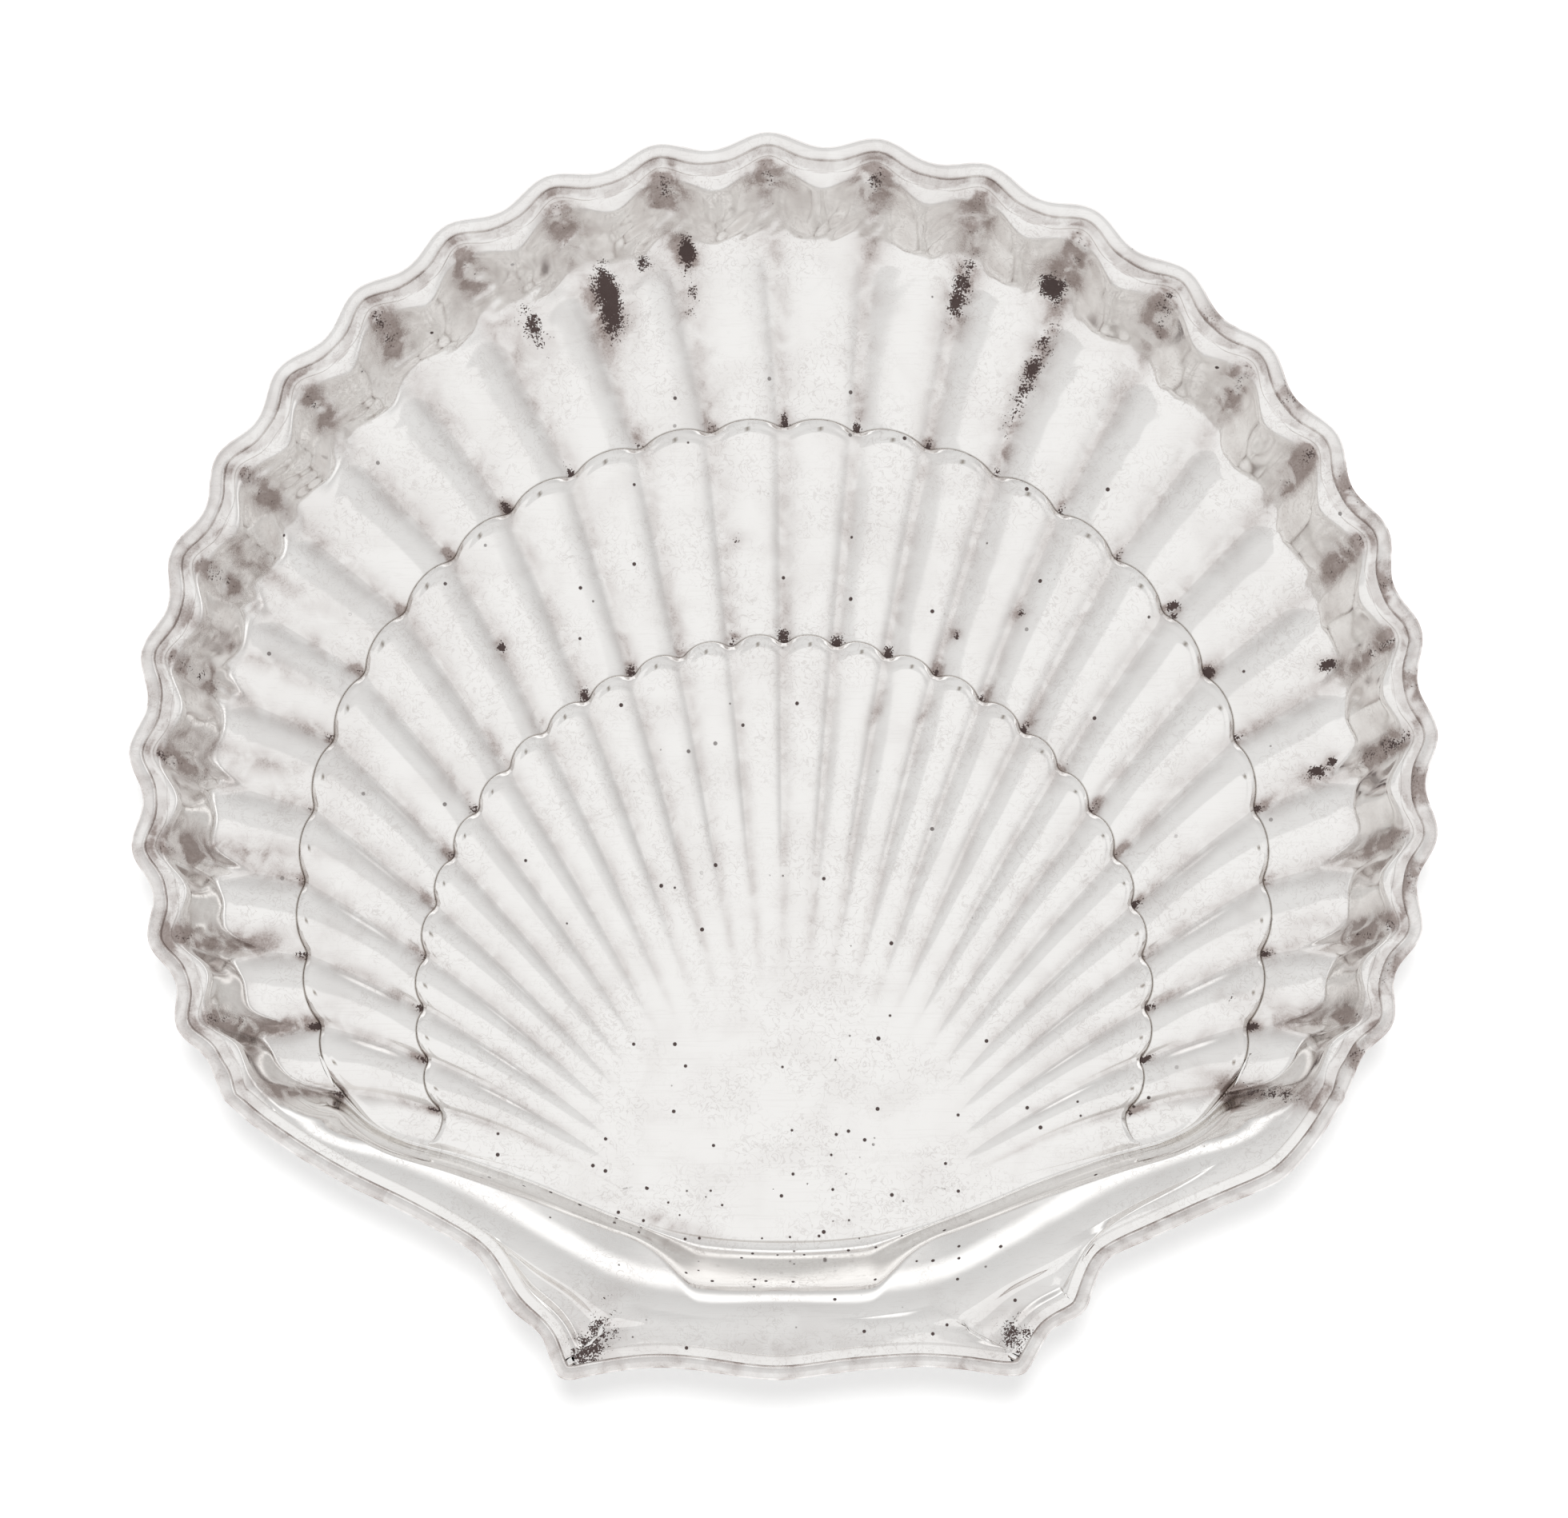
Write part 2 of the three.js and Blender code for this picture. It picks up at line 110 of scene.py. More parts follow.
# Flutes: their heights at the two steps and the wall, the shares of a tier over which they grow, and the
# fingertips that they end in. A shallow groove goes round each fingertip, and behind it a dark dot is a
# painted reflection
FLUTE_HEIGHTS = (1.75, 2.15, 2.6)
TIER_GROWTH = 0.6
OUTER_GROWTH = 0.5
HUB_SWELL = 0.4
FINGERTIP = 1.9
FINGERTIP_SHARE = 0.4
TIP_GROOVE = 0.3
TIP_GROOVE_FADES = (1.1, 1.4)
TIP_END = (2.9, 4.6)
# Where the dark dot behind each lip lies, a painted reflection on the crests
REFLECTION_DOT_ROWS = (1.9, 2.7)
REFLECTION_DOT_SHARE = 0.004
REFLECTION_DOT_SOFTNESS = 0.1

# Border wire: its section, and how far it goes into the flange
WIRE_HEIGHT = 2.3
WIRE_WIDTH = 3.6
WIRE_LEAN = 1.4
WIRE_SIDE = 0.8
WIRE_BITE = 0.2
EDGE_INSET = 0.05

# Hinge: half lines of place, x and y from the last groove, place 0, to the centre line, place 1, mirrored to
# the other side, and the tray's outline from left to right, whose two sides differ
HUB_BACK = ((0.2, 36, -110), (0.4, 28, -112), (0.6, 18, -113.6), (0.8, 9, -114.5), (1, 0, -114.8))
SCOOP_FOOT = (
    (0.1, 104, -91), (0.2, 95, -95.4), (0.3, 80, -99.5), (0.4, 64, -105),
    (0.5, 52, -110), (0.65, 37, -115.8), (0.8, 22, -119.7), (1, 0, -121.3),
)
SCOOP_CREST = (
    (0.1, 122, -95), (0.2, 106, -104.5), (0.3, 89, -113), (0.4, 70, -123),
    (0.5, 55.5, -130.5), (0.65, 38, -138.5), (0.8, 23, -141.6), (1, 0, -142.4),
)
HINGE_EDGE = (
    (-133.2, -93.8), (-126.2, -98.8), (-118.6, -103.8), (-108.6, -109.5), (-99.4, -113.9), (-91.8, -117.7),
    (-80.4, -124.2), (-75.8, -127.8), (-72, -133.9), (-68, -140.5), (-61.2, -146.2), (-59, -150.8),
    (-57, -156.3), (-53.6, -158.1), (-47.4, -156.9), (-37.8, -155.4), (-30, -155), (-22.4, -155.6),
    (-16, -156.5), (-8, -157.7), (0, -158.1), (8, -157.2), (16.2, -156), (26.8, -155.2), (34.8, -154.8),
    (45.6, -155.6), (53.6, -156.9), (59.4, -156.7), (62, -153.6), (64.4, -149.2), (67, -145.4),
    (72.4, -142.7), (75.4, -140.1), (77, -135.5), (79.2, -130), (82.4, -126.8), (92.2, -122.4),
    (107.6, -115.3), (119.8, -110.3), (126, -106.5), (133.4, -98),
)

# Wall: slopes in its grooves and on its crests, and how much its foot and its top are rounded over. A ripple
# wave runs at a rate in x and y, and bends by an amount, at another rate in x and y and from a start
GROOVE_SLOPE = 1.15
CREST_SLOPE = 1.35
END_CREST_SLOPE = 2.4
END_CREST_FLUTES = (5, 7)
GROOVE_ROUND = 1.3
CREST_ROUND = 0.9
TOP_ROUND = 0.7
WALL_FOOT_RISE = 1.1
WALL_RIPPLE = 0.35
RIPPLE_MARGIN = 3
RIPPLE_WAVES = ((0.62, 0, 1.6, 0, 0.23, 0), (0, 0.66, 1.9, 0.27, 0, 1), (1.1, -0.9, 2, 0, 0.4, 0))

# Scoop of the hinge: it rises steeply on the wings and less so in the middle, and a sloping shoulder follows.
# Shares and ends are places on a half line. Before an end, the floor's lines still turn, curl or bend
WING_SLOPE = 4.0
WING_LEAD = 1.5
MIDDLE_SLOPE = 1.6
MIDDLE_LEAD = 2.8
MIDDLE_SHARES = (0.62, 0.2)
SCOOP_SHOULDER = 0.78
SHOULDER_DIP = 0.2
SHOULDER_DIP_SHARES = (0.8, 0.2)
SCOOP_ROUND = 1.0
SHOULDER_ROUND = 2.0
SCOOP_TOP_ROUND = 2.3
TURN_END = 0.08
CURL_END = 0.28
CURL_REACH = 0.85
BEND_END = 0.12

# Flange: hollow ears at the hinge, and a level band for the wire that stands a little above the wall's top
EAR_HOLLOW = 2.2
EAR_PLACE = 0.55
EAR_SPREAD = 0.16
EAR_START = (0.25, 0.2)
EAR_END = (0.72, 0.28)
BAND_STEP = 0.3
BAND_STEP_SHARE = 0.12

# Where the rows of the mesh lie, in millimetres before a lip, after it and inside the wall's crest
GROUND_MIDDLE = (0, -98)
GROUND_ROWS = 14
TIER_ROWS = 34
TIP_ROWS = (
    5, 4.3, 3.7, 3.1, 2.6, 2.3, 2, 1.6, 1.3, 1.15, 1.05, 0.95, 0.85, 0.7, 0.5, 0.3, 0.2, 0.13, 0.08, 0.03, 0,
)
STEP_ROWS = (0.02, 0.05, 0.1, 0.17, 0.26, 0.38, 0.55, 0.8)
STEP_FILLET = 0.4
OUTER_ROWS = 24
WALL_ROWS = (*np.linspace(21, 8, 40), *np.linspace(8, 2, 14)[1:], *np.linspace(2, 0, 14)[1:])
FLANGE_ROWS = 26
FLANGE_LINES = (0.6, 3.4, 6.2)
BAND_ROWS = (0.03, 0.06, 0.1, 0.15, 0.22, 0.4, 0.6, 0.8, 1)
INSET_STEP = 0.3
INSET_SMOOTHING = 0.2
WIRE_ROWS = 20

# Feet and their pads. A pad's rings are given by insets, turns in degrees about the chamfer and shares
FOOT_SEGMENTS = 64
BALL_ROWS = 36
BALL_SEAT = 2.6
SEAT_EDGE = ((-0.12, 0), (-0.03, 0.02))
SEAT_TURN = 0.03
NECK_RADIUS = 3.4
NECK_FLARE = 0.5
NECK_ROWS = (0.12, 0.3, 0.5, 0.62, 0.74, 0.86, 1)
FLARE_SHARE = 0.5
PAD_CHAMFER = 0.9
PAD_BITE = 0.4
PAD_INSETS = (5.5, 3, 1.6, 0.95, 0.9, 0.85)
PAD_TURNS = (15, 30, 45, 60, 75, 90)
PAD_SHARES = (1, 0.99, 0.9, 0.75, 0.6, 0.45, 0.3, 0.15, 0)

# Wear in the grooves. Marks there have a random strength. A size is a half width across and a length along
WEAR_SEED = 5
HEART = (0, -35)
GROOVE_TURN = 8.7
MARK_STRENGTH = (0.35, 1)
END_STRENGTH = 0.3
GROOVE_FILM = 0.34
GROOVE_FILM_POWER = 1.3
GROOVE_FILM_REACH = 26

# Wear at the steps: a dark cusp and a tail at each groove. Painted shade lies in each step's crease
CUSP_SIZE = (1.1, 1.8)
CUSP_PLACE = 1.2
CUSP_START = -0.3
CUSP_FILM = 0.5
CUSP_SOOT = 0.6
STEP_TAIL_SIZE = (1.9, 6)
STEP_TAIL_FILM = 0.6
STEP_TAIL_SOOT = 0.4
# A dark line in each step's crease is painted shade, weaker at the top of the fan than on its sides
STEP_SHADE_BAND = (0.04, 0.4, 0.16)
STEP_SHADE_AMOUNTS = (0.4, 0.85)
# Painted shade along the foot of the scoop in the hinge's middle
SCOOP_SHADE_BAND = (-1, 0.3, 0.3)
SCOOP_SHADE = 0.5

# Wear of the wall: a light film, and a cloud and a tail below its crest at each groove. A cloud's width, depth
# and film are given for the top of the fan and for its sides
WALL_BAND = (-1, 11, 5)
WALL_FILM = 0.12
CLOUD_WIDTHS = (6.5, 3)
CLOUD_DEPTHS = (5, 13)
CLOUD_TOP = -0.5
CLOUD_SOFTNESS = 6
CLOUD_END = 0.55
CLOUD_END_FLUTES = (8, 3)
CLOUD_FILM = (1.2, 0.8)
CLOUD_SOOT = 0.2
WALL_TAIL_SIZE = (2.4, 14)
WALL_TAIL_FILM = 0.6
WALL_TAIL_SOOT = 0.42
BAND_FILM = 0.38
BAND_FILM_START = -2
WEAR_END = 0.04
SHADE_AND_REFLECTION_END = 0.13

# Wire: painted shade that darkens its two sides, by the share of the way there from its middle, wear in the
# notches on the right of the tray, and tarnish all over, with less of it at the top, which is painted light
WIRE_SIDE_SHADE = 0.5
WIRE_SIDE_SHADE_SHARES = (0.3, 0.6)
WIRE_SIDE_DARK_SHADE = 0.2
WIRE_SIDE_DARK_SHADE_SHARES = (0.75, 0.2)
WIRE_FILM = 0.42
WIRE_FILM_LIT_TOP = 0.3
WIRE_LIT_TOP_FADE = (50, 70)
NOTCH_FILM = 0.5
NOTCH_SOOT = 0.3
NOTCH_FADE = (60, 60)

# Single marks: rows of x, y, length, width and amount. A spot of soot has a wider halo of film
HALO_FILM = 0.6
HALO_SIZE = (1.5, 1.7)
SOOT_SPOTS = (
    (-44.5, 119.5, 15, 7, 0.85), (-43, 111, 14, 7, 0.6), (-35.4, 125.8, 5, 5, 0.7), (-24.3, 129.3, 8, 4, 1.1),
    (-23.5, 119, 14, 5, 0.5), (-63.2, 109.5, 16, 8, 0.6), (44.1, 118.7, 18, 6, 0.75), (67, 119.7, 7, 7, 0.8),
    (62, 98, 34, 6, 0.62), (-70.9, 29, 3, 3, 1), (59.7, 37.5, 2.6, 2.6, 0.9), (106.7, 22.2, 2.2, 2.2, 1),
    (98.2, 39.6, 2.4, 2.4, 1), (98.2, 36.8, 1.8, 1.8, 1), (133.6, -2.7, 6, 3.5, 0.9), (137.7, 0, 3, 3, 0.8),
    (136.6, 24.3, 6, 3.5, 0.9), (-48, -149.4, 22, 11, 0.68), (58, -147, 14, 11, 0.58),
    (122, -85, 26, 5, 0.45), (-12, 56, 3, 3, 0.5), (43.5, 32, 2, 2, 1), (112, -60, 5, 3, 0.5),
)
FILM_SPOTS = (
    (23.4, 12.8, 14, 3.6, 0.3), (36, 12.5, 12, 3, 0.3), (32.5, 0, 10, 3, 0.25), (-29, -116.6, 4, 24, 0.6),
    (-134, 50, 46, 6, 0.6), (-137, 28, 46, 6, 0.6), (-139, 2, 46, 6, 0.6), (-139, -22, 48, 6, 0.6),
    (-137, -45, 48, 6, 0.5), (-132, -68, 46, 6, 0.5), (-124, -85.5, 18, 5, 0.5),
    (120, -85, 34, 6, 0.5), (136, -64, 44, 7, 0.45), (142, -42, 34, 7, 0.4), (0, -150, 8, 60, 0.25),
)
PIT_SPOTS = (
    (-5, -98, 90, 110, 0.4), (-5, -112, 26, 60, 0.8), (86, -96, 40, 16, 0.7), (20, -140, 20, 80, 0.2),
    (0, 60, 170, 260, 0.06),
)

# Silver: colours and roughness of the four kinds
SHEET_COLOUR = (0.885, 0.872, 0.855)
WIRE_COLOUR = (0.9, 0.89, 0.875)
PAD_COLOUR = (0.78, 0.75, 0.72)
FOOT_COLOUR = (0.86, 0.84, 0.82)
SHEET_ROUGHNESS = 0.09
WIRE_ROUGHNESS = 0.12
PAD_ROUGHNESS = 0.3
FOOT_ROUGHNESS = 0.14
WIRE_MOTTLE = 0.5

# What covers the silver: colours, amounts and noises. A noise is a size in millimetres, a detail and, where it
# has one, a distortion. A cut is the two values that become 0 and 1
MOTTLE_COLOUR = (0.6, 0.565, 0.545)
# Tarnish colour, which also colours the painted shade on the wire's sides
FILM_AND_SHADE_COLOUR = (0.45, 0.39, 0.37)
BROWN_COLOUR = (0.25, 0.195, 0.175)
# Colour of the painted shade in the creases and of the painted reflection dots
SHADE_AND_REFLECTION_COLOUR = (0.2, 0.16, 0.12)
# Soot colour, also of the painted shade at the wire's sides
SOOT_AND_SHADE_COLOUR = (0.06, 0.04, 0.037)
PATCH_NOISE = (20, 3)
PATCH_CUT = (0.36, 0.6)
SQUIGGLE_NOISE = (2.6, 3, 1.2)
SQUIGGLE_CUT = (0.035, 0.005)
MOTTLE_AMOUNT = 0.42
MOTTLE_ROUGHNESS = 0.12
HAIR_NOISE = (0.5, 2, 0.2)
HAIR_STRETCH = 0.03
HAIR_TURNS = (0.5, 1.9)
HAIR_CUT = (0.61, 0.67)
HAIR_AMOUNT = 0.1
LUMP_NOISE = (6, 5, 0.6)
LUMP_CUT = (0.3, 0.7)
LUMP_LEAST = 0.35
HAZE_NOISE = (15, 4, 0.4)
HAZE_CUT = (0.42, 0.7)
HAZE_AMOUNT = 0.12
FILM_AND_SHADE_AMOUNT = 0.9
FILM_ROUGHNESS = 0.22
FINE_GRAIN = (0.5, 3)
FINE_SHARE = 0.6
COARSE_GRAIN = (3.2, 3)
COARSE_SHARE = 0.4
BROWN_GRAIN = 1.6
BROWN_CUT = (1.25, 2.05)
BROWN_AMOUNT = 0.7
SHADE_AND_REFLECTION_AMOUNT = 0.8
SOOT_EDGE = (0.72, 0.42)
SOOT_CUT = (-0.015, 0.03)
SOOT_START = (0.03, 0.12)
PIT_CELL = 3.4
PIT_PICK = (-0.02, 0.02)
PIT_CUT = (0.07, 0.01)
PIT_GROWTH = 0.12
DIRT_ROUGHNESS = 0.5
DENT_NOISE = (7, 2)
DENT_DEPTH = 0.03

# Camera and light. Angles are in degrees, and the distance and the floor's reach are in metres
CAMERA_TILT = 7
CAMERA_DISTANCE = 5
CAMERA_LENS = 459
CAMERA_AIM = -1.3
FLOOR_REACH = 3
FLOOR_COLOUR = (0.8, 0.8, 0.8, 1)
FLOOR_LIFT = 0.39
WORLD_LIGHT = 0.5
SUN_ELEVATION = 84
SUN_SIZE = 15
SUN_STRENGTH = 1.7

# Tent: a dome, with its radius in metres. It is white towards the hinge, greyer beyond an edge near its top,
# greyer still low down on one side, and has a low bright window behind the fan
TENT_RADIUS = 12
TENT_RINGS = (*np.linspace(1, 70, 70), *(90 - 20 * np.linspace(1, 0, 81)[1:] ** 1.5))
TENT_COLUMN = 1.5
FAR_HALF_AZIMUTH = 93.5
FAR_HALF_GLOW = 0.85
EDGE_OFFSET = 10.5
EDGE_WIDTH = 0.6
SOFT_EDGE_WIDTH = 14
SOFT_EDGE_FADE = (0.1, 0.3)
SIDE_GLOW = 0.72
SIDE_ELEVATION = (22, 36)
SIDE_AZIMUTH = 60
SIDE_WIDENING = 0.4
WINDOW_ELEVATION = (9.5, 22.5)
WINDOW_SOFT = 8
WINDOW_AZIMUTH = (-10, 140)
WINDOW_SIDES = 40
WINDOW_GLOW = 1.3
HORIZON_GLOW = 0.6
HORIZON_TOP = 7


def ease(t):
    t = np.clip(t, 0, 1)
    return t * t * (3 - 2 * t)


def grow(value, start, span):
    """0 up to a start, growing smoothly to 1 over a span."""
    return ease((value - start) / span)


def bump(value, low, high, soft):
    """1 between two values, falling to 0 over a soft width on both sides."""
    return ease((value - low) / soft + 0.5) * (1 - ease((value - high) / soft + 0.5))


def mix(a, b, t):
    return a + (b - a) * t


def soft_max(a, b, round_off):
    """The larger of two heights. A fillet that is round_off high at the corner joins them."""
    return np.maximum(a, b) + round_off * np.clip(1 - np.abs(a - b) / (4 * round_off), 0, 1) ** 2


def soft_min(a, b, round_off):
    return -soft_max(-a, -b, round_off)


def wave_form(u):
    """The scallop of the rim at a groove coordinate: 0 at a groove, where the rim peaks, and 1 between."""
    wave = (1 - np.cos(2 * np.pi * u)) / 2
    return np.where(np.abs(u) > HALF_FLUTES - 0.5, mix(END_SCALLOP, 1, wave), wave)


def crest_offset(u):
    """How far a groove coordinate lies from the nearest crest: 0 on it, and 1 in a groove."""
    return np.abs(2 * (u - np.floor(u)) - 1)


def flute_form(u):
    """How far a flute stands up at a groove coordinate: 0 in a rounded groove, and 1 on the crest."""
    t = crest_offset(u)
    start = 1 - GROOVE_FILLET
    bend = CREST_ROUNDNESS * start ** (CREST_ROUNDNESS - 1) / (2 * GROOVE_FILLET)
    bottom = 1 - start ** CREST_ROUNDNESS - bend * GROOVE_FILLET**2
    form = np.where(t < start, 1 - t**CREST_ROUNDNESS, bottom + bend * (1 - t) ** 2)
    return (form - bottom) / (1 - bottom)


class Arc:
    """An arc of the fan, with how its grooves turn about its centre."""

    def __init__(self, radius, centre, pitch, crowd=0.0, lean=0.0):
        self.values = np.array([radius, centre, pitch, crowd, lean])

    @classmethod
    def through(cls, top, end, crowd=0.0, lean=0.0):
        x, y = end
        centre = (top**2 - x**2 - y**2) / (2 * (top - y))
        turn = math.degrees(math.atan2(x, y - centre))
        return cls(top - centre, centre, turn / HALF_FLUTES + crowd * HALF_FLUTES**2, crowd, lean)

    def toward(self, other, t):
        return Arc(*mix(self.values[:, None], other.values[:, None], t))

    def inside(self, distance):
        return Arc(self.values[0] - distance, *self.values[1:])

    def points(self, u, tip=0.0, scallop=0.0):
        """Points along the arc. The crests reach out by tip and in by scallop."""
        radius, centre, pitch, crowd, lean = self.values
        turn = np.radians(u * (pitch - crowd * u * u) - lean * (1 - (u / HALF_FLUTES) ** 2))
        reach = radius + tip * flute_form(u) - scallop * wave_form(u)
        return np.stack([reach * np.sin(turn), centre + reach * np.cos(turn)], axis=-1)


RIM = Arc.through(RIM_REACH, SHOULDER, RIM_CROWD, RIM_LEAN)
CREST = RIM.inside(FLANGE_WIDTH)
OUTER_STEP = Arc.through(OUTER_STEP_TOP, OUTER_STEP_END)
INNER_STEP = Arc.through(INNER_STEP_TOP, INNER_STEP_END)
HUB = Arc(HUB_RADIUS, HUB_CENTRE, HUB_TURN / HALF_FLUTES)

# Columns run clockwise: across the fan, and back across the hinge. A hinge column reaches some way along its
# half line, and lies on the right side or on the left
COLUMN_SHARES = (1 - np.cos(np.pi * np.arange(COLUMNS_PER_FLUTE) / COLUMNS_PER_FLUTE)) / 2
FAN_U = np.append((np.arange(-HALF_FLUTES, HALF_FLUTES)[:, None] + COLUMN_SHARES).ravel(), HALF_FLUTES)
FAN_COLUMNS = len(FAN_U)
FORM = flute_form(FAN_U)
CREST_SLOPES = mix(CREST_SLOPE, END_CREST_SLOPE, grow(np.abs(FAN_U), *END_CREST_FLUTES))
WALL_SLOPE = mix(GROOVE_SLOPE, CREST_SLOPES, FORM)
PLACES = 2 * np.arange(1, HINGE_COLUMNS + 1) / (HINGE_COLUMNS + 1)
REACH = np.minimum(PLACES, 2 - PLACES)
SIDE = np.stack([np.where(PLACES <= 1, 1, -1), np.ones(HINGE_COLUMNS)], axis=-1)


def smooth_line(line, place):
    """Points on a smooth curve through [place, x, y] rows, at an array of places."""
    line = np.array(line, float)
    slopes = np.gradient(line[:, 1:], line[:, 0], axis=0)
    i = np.clip(np.searchsorted(line[:, 0], place, side="right") - 1, 0, len(line) - 2)
    span = (line[i + 1, 0] - line[i, 0])[:, None]
    t = (place - line[i, 0])[:, None] / span
    return (
        (2 * t**3 - 3 * t**2 + 1) * line[i, 1:] + (t**3 - 2 * t**2 + t) * span * slopes[i]
        + (3 * t**2 - 2 * t**3) * line[i + 1, 1:] + (t**3 - t**2) * span * slopes[i + 1]
    )


def hinge_line(start, half):
    """A line across the hinge from the fan's end at the last groove, mirrored to the other side."""
    place, x, y = half[-2]
    return smooth_line([(0, *start), *half, (2 - place, -x, y)], REACH) * SIDE


def edge_points():
    """The tray's outline, all round."""
    fan = RIM.points(FAN_U, scallop=RIM_SCALLOP)
    corners = [fan[-1], *HINGE_EDGE[::-1], fan[0]]
    line = np.column_stack([np.linspace(0, 2, len(corners)), corners])
    return np.concatenate([fan, smooth_line(line, PLACES)])


def inset_lines(distances):
    """The outline moved inward: a mitred inset across the fan, and small smoothed steps across the hinge."""
    fan, hinge = EDGE[:FAN_COLUMNS], EDGE[FAN_COLUMNS:].copy()
    slope = RIM_SCALLOP * np.pi / 2 * np.sin(2 * np.pi * FAN_U) / HALF_PITCH
    inward = [0, RIM.values[1]] - fan
    inward *= (np.sqrt(1 + slope**2) / np.linalg.norm(inward, axis=1))[:, None]
    lines, done = [], 0.0
    for distance in distances:
        steps = max(1, math.ceil((distance - done) / INSET_STEP))
        for part in np.linspace(done, distance, steps + 1)[1:]:
            ends = (fan + inward * part)[[-1, 0]]
            line = np.concatenate([ends[:1], hinge, ends[1:]])
            along = line[2:] - line[:-2]
            along /= np.linalg.norm(along, axis=1)[:, None]
            hinge = hinge + np.stack([along[:, 1], -along[:, 0]], axis=-1) * (distance - done) / steps
            line = np.concatenate([ends[:1], hinge, ends[1:]])
            hinge = mix(hinge, (line[2:] + line[:-2]) / 2, INSET_SMOOTHING)
        done = distance
        lines.append(np.concatenate([fan + inward * distance, hinge]))
    return lines


EDGE = edge_points()
SHIFT = -(EDGE.min(axis=0) + EDGE.max(axis=0)) / 2
STEP_FOOT = OUTER_STEP.inside(-STEP_ROWS[-1]).points(FAN_U, FINGERTIP)
CREST_LINE = CREST.points(FAN_U, scallop=CREST_SCALLOP)
BACK = hinge_line(HUB.points(HALF_FLUTES), HUB_BACK)
SCOOP_START = hinge_line(STEP_FOOT[-1], SCOOP_FOOT)
SCOOP_END = hinge_line(CREST_LINE[-1], SCOOP_CREST)
SCOOP_LENGTH = np.linalg.norm(SCOOP_END - SCOOP_START, axis=1)
TURNED = ease(REACH / TURN_END)
CURLED = ease(REACH / CURL_END)
IN_MIDDLE = grow(REACH, *MIDDLE_SHARES)


def scoop_height(to_crest, ground):
    """Height on the hinge side at a distance inside the scoop's crest, negative on the flange."""
    lead = mix(WING_LEAD, MIDDLE_LEAD, IN_MIDDLE)
    rise = mix(WING_SLOPE, MIDDLE_SLOPE, IN_MIDDLE) * (SCOOP_LENGTH - lead - to_crest)
    shoulder = SCOOP_SHOULDER - SHOULDER_DIP * grow(REACH, *SHOULDER_DIP_SHARES)
    height = soft_min(rise, DISH_DEPTH - shoulder * to_crest, SHOULDER_ROUND)
    return soft_min(soft_max(ground, height, SCOOP_ROUND), DISH_DEPTH, SCOOP_TOP_ROUND)


def tier_base(low, gap, length):
    """Height of a tier's grooves at a distance before its lip, on a tier that starts at a height."""
    lift = 1 - (1 - np.exp(-gap / TIP_REACH)) / (1 - np.exp(-length / TIP_REACH))
    base = low + mix(0, TIER_RISE - TIP_LIFT, 1 - gap / length) + TIP_LIFT * lift
    base -= TIP_BEND / 2 * np.clip(TIP_LENGTH - gap, 0, None) ** 2
    over = np.clip(1 - gap / LIP_RADIUS, 0, 1)
    base -= LIP_RADIUS * (1 - np.sqrt(1 - over**2)) + LIP_BEVEL * soft_max(LIP_WIDTH - gap, 0, LIP_SOFTNESS)
    return base


def fan_floor():
    """Rows of the inner and middle tiers across the fan: x, y and height, and what each row is part of."""
    rows, kinds, low = [], [], 0.0
    round_end = mix(*TIP_END, crest_offset(FAN_U) ** 2)
    # The last row of the inner step is the middle tier's first
    tiers = (
        (HUB, INNER_STEP, 0.0, FLUTE_HEIGHTS[0], HUB_SWELL, STEP_ROWS[:-1]),
        (INNER_STEP.inside(-STEP_ROWS[-1]), OUTER_STEP, FLUTE_HEIGHTS[0], FLUTE_HEIGHTS[1], 1, STEP_ROWS),
    )
    for start, end, first, last, swell, steps in tiers:
        length = np.linalg.norm(end.points(FAN_U) - start.points(FAN_U), axis=1)
        gaps = [mix(length, TIP_ROWS[0], part) for part in np.linspace(0, 1, TIER_ROWS)[:-1]]
        for gap in [*gaps, *TIP_ROWS]:
            t = 1 - gap / length
            at_start = (1 - ease(t / FINGERTIP_SHARE)) * (first > 0)
            tip = FINGERTIP * (grow(t, 1 - FINGERTIP_SHARE, FINGERTIP_SHARE) + at_start)
            base = tier_base(low, gap, length)
            height = base + mix(first, last * mix(swell, 1, t), ease(t / TIER_GROWTH)) * FORM
            fades = ease((round_end - gap) / TIP_GROOVE_FADES[0]) * ease(gap / TIP_GROOVE_FADES[1])
            height -= TIP_GROOVE * fades * FORM
            rows.append(np.column_stack([start.toward(end, t).points(FAN_U, tip), height]))
            kinds.append("tier" if np.ndim(gap) else "tip")
        lip = base[0]
        low += TIER_RISE - STEP_DROP
        for out in steps:
            left = (lip - low) * np.clip(1 - out / STEP_FILLET, 0, 1) ** 4
            xy = end.inside(-out).points(FAN_U, FINGERTIP)
            rows.append(np.column_stack([xy, low + left + last * FORM]))
            kinds.append("step")
    return np.array(rows), kinds, low


